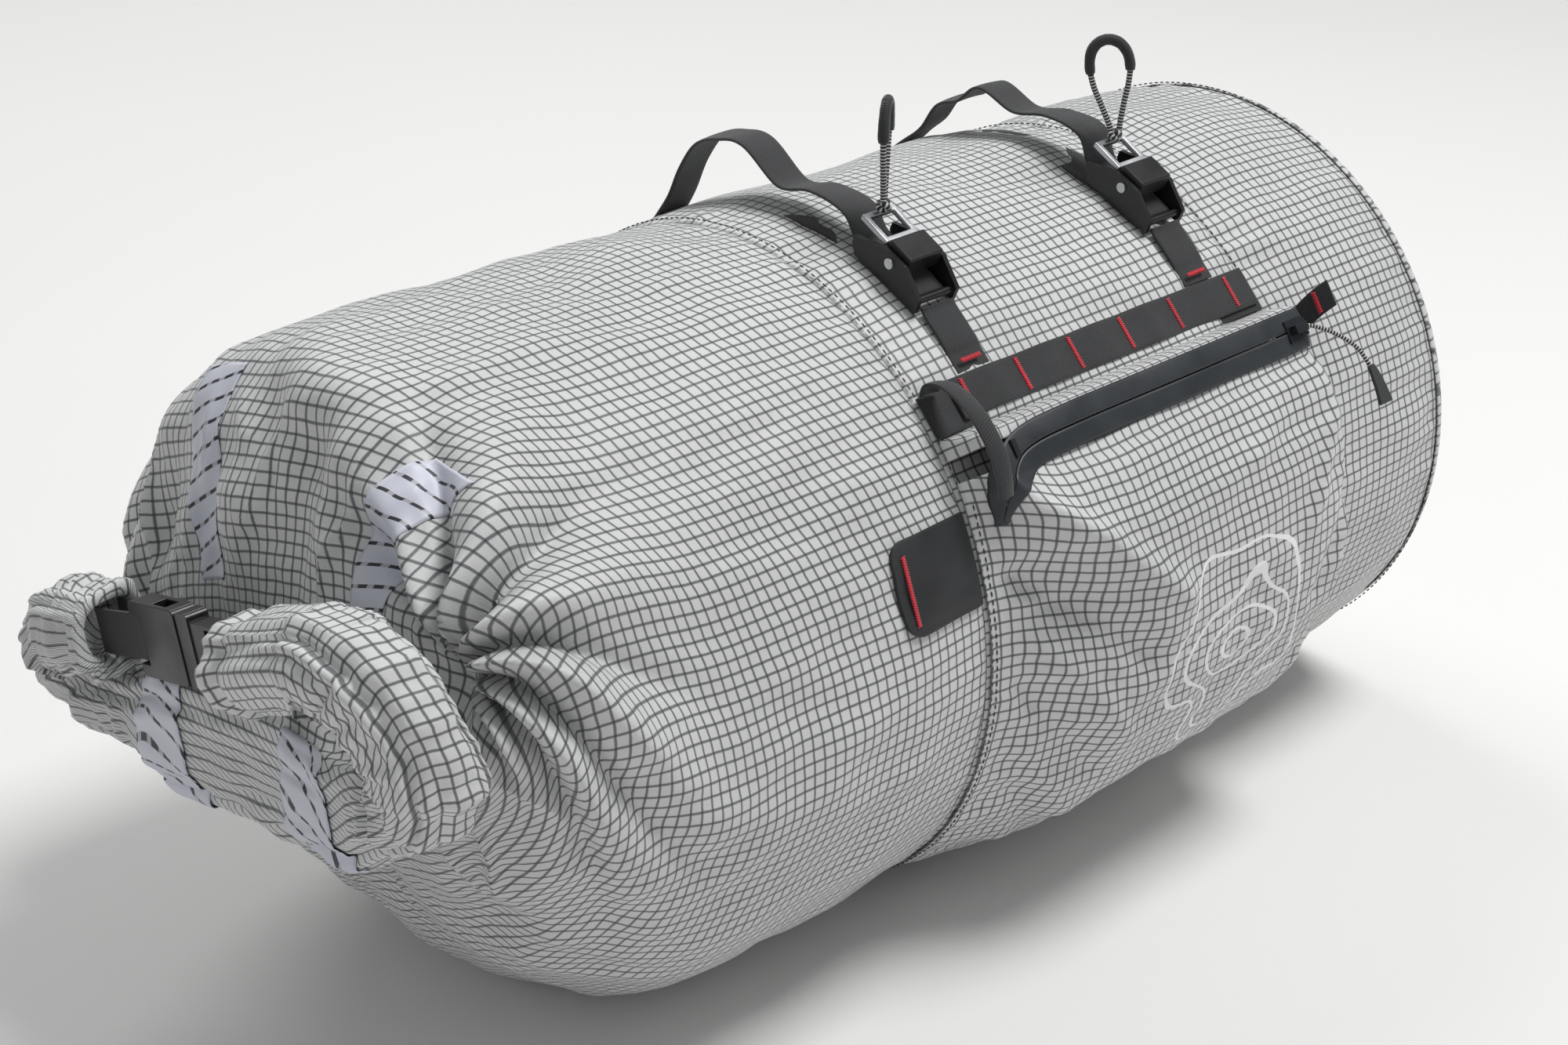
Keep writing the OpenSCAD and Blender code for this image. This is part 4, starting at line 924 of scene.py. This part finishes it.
class SACK_OT_pocket(bpy.types.Operator):
    """Sews the full-length pocket below the daisy chain"""
    bl_idname = "sack.pocket"
    bl_label = "Pocket"

    def execute(self, context):
        x = np.linspace(POCKET_L, POCKET_R, 120)[:, None]
        angle = np.linspace(-66, ZIP_LO + 1.4, 190)[None, :]
        front = pocket_surface(x, angle)
        plain = on_sack(x, angle, bag_r(x) + pocket_height(x, angle))
        cloth_piece("pocket_cloth", front, ripstop(True), ("pocket_front",), flat_of(plain, 112))
        angle = np.linspace(ZIP_HI - 1.4, STRIP_TOP, 12)[None, :]
        cloth_piece("pocket_strip_cloth", pocket_surface(x, angle), ripstop(), ("pocket_top_strip",))
        edge = np.linspace(-60, ZIP_LO - 2, 200)
        stitches("pocket_stitching", [pocket_surface(x, edge, 0.3) for x in (POCKET_L + 2.2, POCKET_R - 2.2)], 0.28)
        return {"FINISHED"}


class SACK_OT_zip(bpy.types.Operator):
    """Sets the coated zip into the pocket's top edge"""
    bl_idname = "sack.zip"
    bl_label = "Zip"

    def execute(self, context):
        line = even_path(smooth_path([(84, 34.0), (60, 34), (0, 34), (-40, 34), (-62, 33.6), (-72, 32), (-78, 28.5),
                                      (-80, 24.5)], 12), 150)[::-1]
        flat_line = np.stack([line[:, 0], np.radians(line[:, 1]) * ZIP_R], axis=-1)
        way = unit(np.gradient(flat_line, axis=0))
        across = np.stack([-way[:, 1], way[:, 0]], axis=-1)
        for name, lo, hi in (("lower", -7.6, -0.25), ("upper", 0.25, 7.6)):
            offs = np.linspace(lo, hi, 9)
            taper = 0.2 + 0.8 * ease(travelled(flat_line) / 20)
            spots = flat_line[:, None] + across[:, None] * (offs[None, :] * taper[:, None])[..., None]
            wave = 0.5 * np.sin(spots[..., 0] / 8.5)
            crown = 2.1 - 0.014 * offs[None, :] ** 2
            points = pocket_surface(spots[..., 0], np.degrees(spots[..., 1] / ZIP_R), 0.0)
            height = np.hypot(points[..., 1], points[..., 2] - AXIS_H)
            angle = np.degrees(np.arctan2(points[..., 2] - AXIS_H, -points[..., 1]))
            points = on_sack(points[..., 0], angle, height + crown + wave)
            cloth_piece(f"zip_tape_{name}_cloth", points, coated_tape(), (f"zip_tape_{name}",), wall=0.7)
        for node in ("zip_coil", "zip_stop_left", "zip_stop_right"):
            frame["nodes"][node].data.materials.clear()
            frame["nodes"][node].data.materials.append(black_plastic())
        softened("zip_slider", "zip_slider_casting", gunmetal(), "slider", 0.35)
        return {"FINISHED"}


ZIP_TANGENT = on_sack(0, ZIP_AT + 90, 1.0) - on_sack(0, 0, 0.0)


def tab_line():
    """The tab at the slider's end, from its root on the sack to its standing end."""
    route = smooth_path([(7, 0, 0.4), (2.4, 0, 0.8), (0.6, 0.5, 3.4), (0.8, 1.4, 9), (2.4, 2.4, 16), (5.4, 3.0, 22.5)],
                        10)
    return on_sack(POCKET_R + 5.8 + route[:, 0], ZIP_AT + route[:, 1], bag_r(SEAM_R) + route[:, 2] + 1.2)


TACK_PITCH = 27.25
TACK_X = [SEAM_L + 21 + TACK_PITCH * k for k in range(5)] + [SEAM_R - 14]


class SACK_OT_tabs(bpy.types.Operator):
    """Adds the daisy chain, the webbing tabs and the rubber patch"""
    bl_idname = "sack.tabs"
    bl_label = "Daisy chain, tabs and patch"

    def execute(self, context):
        tangent = on_sack(0, DAISY_AT + 90, 1.0) - on_sack(0, 0, 0.0)
        x = np.linspace(SEAM_L + 1, SEAM_R - 1, 160)
        ribbon("daisy_base_web", on_sack(x, DAISY_AT - 1, bag_r(x) + 1.0), -tangent, WEB_W + 0.6, "daisy_base")
        x = np.linspace(SEAM_L + 15, SEAM_R - 3, 220)
        pitch = (x - TACK_X[0]) / TACK_PITCH
        loops = np.sin(np.pi * np.clip(pitch, 0, 4)) ** 2 * 0.9
        ribbon("daisy_loops_web", on_sack(x, DAISY_AT, bag_r(x) + 2.6 + loops), -tangent, WEB_W, "daisy_webbing")
        # tab that stands up at the slider's end, leaning off the sack
        ribbon("tab_right_web", tab_line(), ZIP_TANGENT, 10, "zip_tab_right")
        # folded tab at the other end, turning as it comes down to the zip
        route = smooth_path([(DAISY_AT + 2.2, 2.6), (DAISY_AT + 2.8, 6.5), (DAISY_AT + 1, 12), (DAISY_AT - 3, 16.5),
                             (ZIP_AT + 2, 18.6), (ZIP_AT - 2, 18.4), (ZIP_AT - 5.5, 16.5)], 10)
        t = np.linspace(0, 1, len(route))
        line = on_sack(SEAM_L + 5 + 1.5 * np.sin(t * 3.1), route[:, 0], bag_r(SEAM_L) + route[:, 1] + 1)
        twist = 0.6 * np.sin(t * math.pi)
        side = np.stack([np.cos(twist), -0.6 * np.sin(twist), -0.3 * np.sin(twist)], axis=-1)
        ribbon("tab_left_web", line, side, 8.5 - 2.5 * t, "zip_tab_left", 0.6)
        self.patch()
        return {"FINISHED"}

    def patch(self):
        """The rubber patch, with rounded corners at its free end."""
        length, half, corner = 38.0, 16.0, 7.0
        d = np.concatenate([np.linspace(0, corner, 12), np.linspace(corner + 1.5, length, 20)])[:, None]
        edge = np.where(d < corner, half - corner + np.sqrt(np.maximum(corner ** 2 - (corner - d) ** 2, 0)), half)
        across = np.linspace(-1, 1, 30)[None, :] * edge
        x = SEAM_L - 1 - length + d + 0 * across
        angle = 21 + np.degrees(across / R_SEAM)
        row = 1 - (SEAM_L - x) / CLOSING_RUN
        points = closing_surface(row, 180 - angle, 1.7)
        bm = grid_bmesh(points, np.stack([d + 0 * across, across], axis=-1))
        finish_piece("light_patch_rubber", bm, rubber(), replaced=("light_patch",), wall=1.5, edge=0.5)


class SACK_OT_tacks(bpy.types.Operator):
    """Sews the red bar tacks as close zigzags"""
    bl_idname = "sack.tacks"
    bl_label = "Bar tacks"

    def zigzag(self, start, end, out):
        """A zigzag of thread between two places, standing off along out."""
        start, end, out = np.array(start, float), np.array(end, float), unit(np.array(out, float))
        count = int(np.linalg.norm(end - start) / 0.42)
        way = unit(end - start)
        side = np.cross(way, out)
        t = np.linspace(0, 1, count)[:, None]
        flip = np.where(np.arange(count) % 2, 1.0, -1.0)[:, None]
        return start + (end - start) * t + side * flip * 0.75 + out * 0.15

    def execute(self, context):
        runs = []
        for x in TACK_X:
            a = np.array([DAISY_AT - WEB_A * 0.8, DAISY_AT + WEB_A * 0.8])
            low, high = on_sack(x, a, bag_r(x) + 3.4)
            runs.append((low, high, low - np.array([x, 0, AXIS_H])))
        for x in STRAP_X.values():
            a = DAISY_AT + WEB_A + 1.6
            start, end = on_sack(np.array([x - 5.5, x + 3.5]), a, bag_r(x) + 5.2)
            runs.append((start, end, start - np.array([start[0], 0, AXIS_H])))
        patch_row = 1 - 34.4 / CLOSING_RUN
        spots = closing_surface(np.full((1, 2), patch_row), np.array([[180 - 15.5, 180 - 26.0]]), 2.0)[0]
        runs.append((spots[0], spots[1], spots[0] - np.array([spots[0][0], 0, AXIS_H])))
        line = tab_line()
        front = unit(np.cross(ZIP_TANGENT, line[-6] - line[-14]))
        front = -front * np.sign(front[0])
        spot = line[-10] + front * 0.8
        runs.append((spot - 4 * ZIP_TANGENT, spot + 4 * ZIP_TANGENT, front))
        bm = bmesh.new()
        for start, end, out in runs:
            line = self.zigzag(start, end, out)
            for p, q in zip(line, line[1:]):
                way = Vector(q - p)
                turn = Vector((0, 0, 1)).rotation_difference(way).to_matrix().to_4x4()
                matrix = Matrix.Translation(Vector((p + q) / 2) * MM) @ turn @ Matrix.Diagonal(
                    (1, 1, way.length * MM, 1))
                bmesh.ops.create_cone(bm, cap_ends=True, segments=6, radius1=0.26 * MM, radius2=0.26 * MM, depth=1.15,
                                      matrix=matrix)
        finish_piece("bar_tack_threads", bm, red_thread(), replaced=("bar_tacks",))
        return {"FINISHED"}


class SACK_OT_straps(bpy.types.Operator):
    """Lays the two cam straps over the top of the sack"""
    bl_idname = "sack.straps"
    bl_label = "Cam straps"

    def execute(self, context):
        arc = 180 / math.pi / float(bag_r(0))
        root = DAISY_AT + WEB_A
        web_mid = 2.5
        end = CAM_AT + (-15.6) * arc
        for side, rise, dip in (("left", 25, 0), ("right", 16, 3)):
            x = STRAP_X[side]
            r = float(bag_r(x))
            a = np.linspace(root + 0.6, 148, 120)
            ribbon(f"strap_base_{side}_web", on_sack(x, a, r + 1.0), (-1, 0, 0), WEB_W, f"strap_base_{side}")
            low = smooth_path([(root + 0.2, web_mid), (root + 3, web_mid + 0.2), (root + 5, web_mid + 1.2),
                               (end - 1.2, 5), (end, 6.4)], 10)
            ribbon(f"strap_lower_{side}_web", on_sack(x, low[:, 0], r + low[:, 1]), (-1, 0, 0), WEB_W,
                   f"strap_lower_{side}", 0.25)
            long = smooth_path([(CAM_AT - 10.8 * arc, 6), (CAM_AT - 2.2 * arc, 6), (CAM_AT + 8.6 * arc, 6.1),
                                (CAM_AT + 18.4 * arc, 8), (78, 14 + dip), (85, 14 + dip), (92, 11 + dip),
                                (99, 17 + rise / 4), (104, rise), (109, rise - 1), (114, rise - 8), (119, rise / 3),
                                (124, web_mid + 0.8), (127, web_mid), (132, web_mid)], 10)
            line = on_sack(x, long[:, 0], r + long[:, 1])
            twist = 0.10 * np.sin(np.radians(long[:, 0] - 74) * 6) * ease((long[:, 0] - 76) / 8) * ease(
                (124 - long[:, 0]) / 8)
            out = unit(line - np.array([x, 0, AXIS_H]))
            way = np.stack([-np.cos(twist), 0 * twist, 0 * twist], axis=-1) + out * np.sin(twist)[:, None]
            ribbon(f"strap_long_{side}_web", line, way, WEB_W, f"strap_long_{side}", 0.3)
        return {"FINISHED"}


class SACK_OT_cams(bpy.types.Operator):
    """Rounds the two cam buckles"""
    bl_idname = "sack.cams"
    bl_label = "Cam buckles"

    def execute(self, context):
        for side in ("left", "right"):
            softened(f"cam_frame_{side}", f"cam_frame_{side}_moulding", black_plastic(), bevel=0.45)
            for part, made, finish, slot in (("block", "moulding", black_plastic, "black_plastic"),
                                             ("tab", "casting", silver_metal, "silver_metal")):
                node = f"cam_{part}_{side}"
                softened(node, f"{node}_{made}", finish(), BODY_OF[node], 0.5)
            for part in ("pin", "spring", "jaw"):
                mesh = frame["nodes"][f"cam_{part}_{side}"].data
                mesh.materials.clear()
                mesh.materials.append(silver_metal())
        return {"FINISHED"}


# The pull cords' loop, across and up from the knot
CORD_LOOP = [(-1.6, 0), (-2.6, 4), (-4.6, 10), (-6.8, 17), (-7.6, 24), (-6.6, 29.5), (-3.8, 33), (0, 34.2), (3.8, 33),
             (6.4, 29.5), (7.2, 24.5), (6.2, 18), (4.2, 11), (2.4, 4), (1.6, 0)]
CORD_D = 2.2


class SACK_OT_cords(bpy.types.Operator):
    """Ties the two pull cords and the zip's pull"""
    bl_idname = "sack.cords"
    bl_label = "Pull cords"

    def pull_cord(self, side, turn, width, lean):
        knot = box_mm(f"cord_knot_{side}")
        foot = np.array([(knot[0][0] + knot[1][0]) / 2, (knot[0][1] + knot[1][1]) / 2, knot[1][2] + 0.4])
        across = np.array([math.cos(math.radians(turn)), math.sin(math.radians(turn)), 0])
        flat = smooth_path(CORD_LOOP, 8)
        half = np.maximum(np.abs(flat[:, 0]) * width, CORD_D * 0.6)
        line = foot + across * (np.sign(flat[:, 0]) * half + lean * flat[:, 1])[:, None]
        line[:, 2] += flat[:, 1]
        body = f"cam_{side}"
        count = len(line)
        sleeve = even_path(line[int(count * 0.26):int(count * 0.74)], 60)
        reach = 2.0 + 0.12 * crumple(sleeve, (5, 5, 5), 51) - 0.25 * lump(np.linspace(0, 1, 60), 0, 0.03) - 0.25 * lump(
            np.linspace(0, 1, 60), 1, 0.03)
        sheath = tube(f"cord_sheath_{side}_sleeve", sleeve, reach, plain_webbing("sleeve_weave", 0.0007),
                      (f"cord_sheath_{side}",), body, 18)
        knots = self.knot(f"cord_knot_{side}_tied", foot - np.array([0, 0, 1.9]), across, body, (f"cord_knot_{side}",))
        radius = context_trim().cord_radius / MM
        cord = tube(f"pull_cord_{side}_line", line, radius, flecked_cord(), (f"pull_cord_{side}",), body, 14)

    def knot(self, name, centre, across, body, replaced):
        """An overhand knot: the cord turns round itself three times, tightly."""
        t = np.linspace(0, 2 * math.pi, 90)
        normal = np.cross(across, [0, 0, 1])
        big, small = 2.0, 1.15
        u = (big + small * np.cos(3 * t)) * np.cos(2 * t) * 0.62
        v = (big + small * np.cos(3 * t)) * np.sin(2 * t) * 0.62
        w = small * np.sin(3 * t)
        line = centre + across * u[:, None] + normal * v[:, None] + np.array([0, 0, 1.0]) * w[:, None]
        return tube(name, line, 1.05, flecked_cord(), replaced, body, 10)

    def execute(self, context):
        self.pull_cord("left", 35, 0.65, 0.1)
        self.pull_cord("right", -42, 1.0, -0.12)
        self.zip_pull()
        return {"FINISHED"}

    def zip_pull(self):
        c, s = math.cos(math.radians(ZIP_AT)), math.sin(math.radians(ZIP_AT))
        slider_x = POCKET_R - 6 - 7.5

        def place(p):
            r = ZIP_R + 1.3 + p[2]
            return (slider_x + p[0], -r * c + p[1] * s, AXIS_H + r * s + p[1] * c)

        route = [(-2.6, 0, 3.4), (0, 0, 3.4), (3.6, 0, 3.4), (6, -0.8, 4), (8.6, -2.6, 5), (12, -5.6, 6.4),
                 (16, -10, 7.8), (19.4, -15.4, 8.9), (21, -22, 9.4)]
        line = smooth_path([place(p) for p in route], 6)
        end = np.array(place(route[-1]))
        out = unit(np.array(place((0, 0, 1))) - np.array(place((0, 0, 0))))
        down = unit(np.array(place((0, -1, 0))) - np.array(place((0, 0, 0))))
        d = np.linspace(0.2, 15.2, 24)
        widths = np.interp(d, [0.2, 1.2, 5, 15.2], [2.4, 3.4, 4.6, 7.0])
        across = np.linspace(-0.5, 0.5, 11)
        points = end + down * d[:, None, None] + np.array([1.0, 0, 0]) * (across[None, :] * widths[:, None])[..., None]
        points = points + out * (0.5 + 0.5 * np.sin(d / 5))[:, None, None]
        flat = np.stack(np.broadcast_arrays(d[:, None], across[None, :] * widths[:, None]), axis=-1)
        tab = finish_piece("zip_pull_tab_web", grid_bmesh(points, flat), plain_webbing(), "zip_pull",
                           ("zip_pull_tab",), wall=-1.4, edge=0.4)
        cord = tube("zip_pull_line", line, 0.8, flecked_cord(), ("zip_pull_cord",), "zip_pull", 12)


def context_trim():
    return bpy.context.scene.sack_trim


class SACK_OT_stage(bpy.types.Operator):
    """Sets the floor, the soft studio lights and the camera"""
    bl_idname = "sack.stage"
    bl_label = "Stage"

    def execute(self, context):
        bm = bmesh.new()
        bmesh.ops.create_grid(bm, x_segments=2, y_segments=2, size=6.0)
        mesh = bpy.data.meshes.new("floor")
        bm.to_mesh(mesh)
        bm.free()
        floor = bpy.data.objects.new("floor", mesh)
        context.scene.collection.objects.link(floor)
        mesh.materials.append(floor_paint())
        world = bpy.data.worlds.new("studio")
        context.scene.world = world
        world.use_nodes = True
        world.node_tree.nodes["Background"].inputs[0].default_value = (0.93, 0.94, 0.95, 1)
        world.node_tree.nodes["Background"].inputs[1].default_value = 0.31
        for name, at, power, size in (("key", (0.5, -0.6, 2.0), 30, 0.8), ("fill", (-1.9, -0.5, 1.3), 1.6, 1.2),
                                      ("back", (0.2, 1.4, 1.7), 13, 1.2)):
            light = bpy.data.lights.new(name, "AREA")
            light.energy, light.size, light.shape = power, size, "DISK"
            lamp = bpy.data.objects.new(name, light)
            lamp.location = at
            aim = Vector((-0.03, 0, 0.1)) - Vector(at)
            lamp.rotation_euler = aim.to_track_quat("-Z", "Y").to_euler()
            context.scene.collection.objects.link(lamp)
        camera = bpy.data.cameras.new("camera")
        camera.lens, camera.sensor_width, camera.clip_start = 63.0, 36.0, 0.01
        shot = bpy.data.objects.new("camera", camera)
        azimuth, elevation = math.radians(-42.435), math.radians(27.09)
        shot.rotation_euler = (math.pi / 2 - elevation, 0, azimuth)
        shot.location = (-0.6791, -0.6704, 0.5896)
        context.scene.collection.objects.link(shot)
        context.scene.camera = shot
        context.scene.view_settings.view_transform = "Standard"
        return {"FINISHED"}


def floor_paint():
    """A plain pale floor with the faintest mottle."""
    material, tree, shader = start_material("floor_paint", Roughness=0.9)
    if tree:
        place = object_place(tree)
        mottle = noise_node(tree, place, 3.0, 2.0)
        tree.links.new(mix_colour(tree, mottle, (0.86, 0.855, 0.845, 1), (0.885, 0.88, 0.87, 1)),
                       shader.inputs["Base Color"])
    return material


# ---------------------------------------------------------------- panel and registration

OPERATORS = (SACK_OT_stage, SACK_OT_cords, SACK_OT_panels, SACK_OT_end, SACK_OT_seams, SACK_OT_roll, SACK_OT_reflectors,
             SACK_OT_buckle, SACK_OT_pocket, SACK_OT_zip, SACK_OT_tabs, SACK_OT_tacks, SACK_OT_straps, SACK_OT_cams)


class SACK_PT_panel(bpy.types.Panel):
    """Sizes, colours and pieces of the stuff sack"""
    bl_idname = "SACK_PT_panel"
    bl_label = "Stuff sack"
    bl_space_type = "VIEW_3D"
    bl_region_type = "UI"
    bl_category = "Stuff sack"

    def draw(self, context):
        layout = self.layout
        for group in (context.scene.sack_cloth, context.scene.sack_trim):
            for key in group.__annotations__:
                layout.prop(group, key)
        for operator in OPERATORS:
            layout.operator(operator.bl_idname)


CLASSES = (SackCloth, SackTrim) + OPERATORS + (SACK_PT_panel,)


def register():
    for cls in CLASSES:
        bpy.utils.register_class(cls)
    bpy.types.Scene.sack_cloth = bpy.props.PointerProperty(type=SackCloth)
    bpy.types.Scene.sack_trim = bpy.props.PointerProperty(type=SackTrim)


def unregister():
    del bpy.types.Scene.sack_trim
    del bpy.types.Scene.sack_cloth
    for cls in reversed(CLASSES):
        bpy.utils.unregister_class(cls)


def main():
    register()
    for operator in OPERATORS:
        category, name = operator.bl_idname.split(".")
        getattr(getattr(bpy.ops, category), name)()


if __name__ == "__main__":
    main()
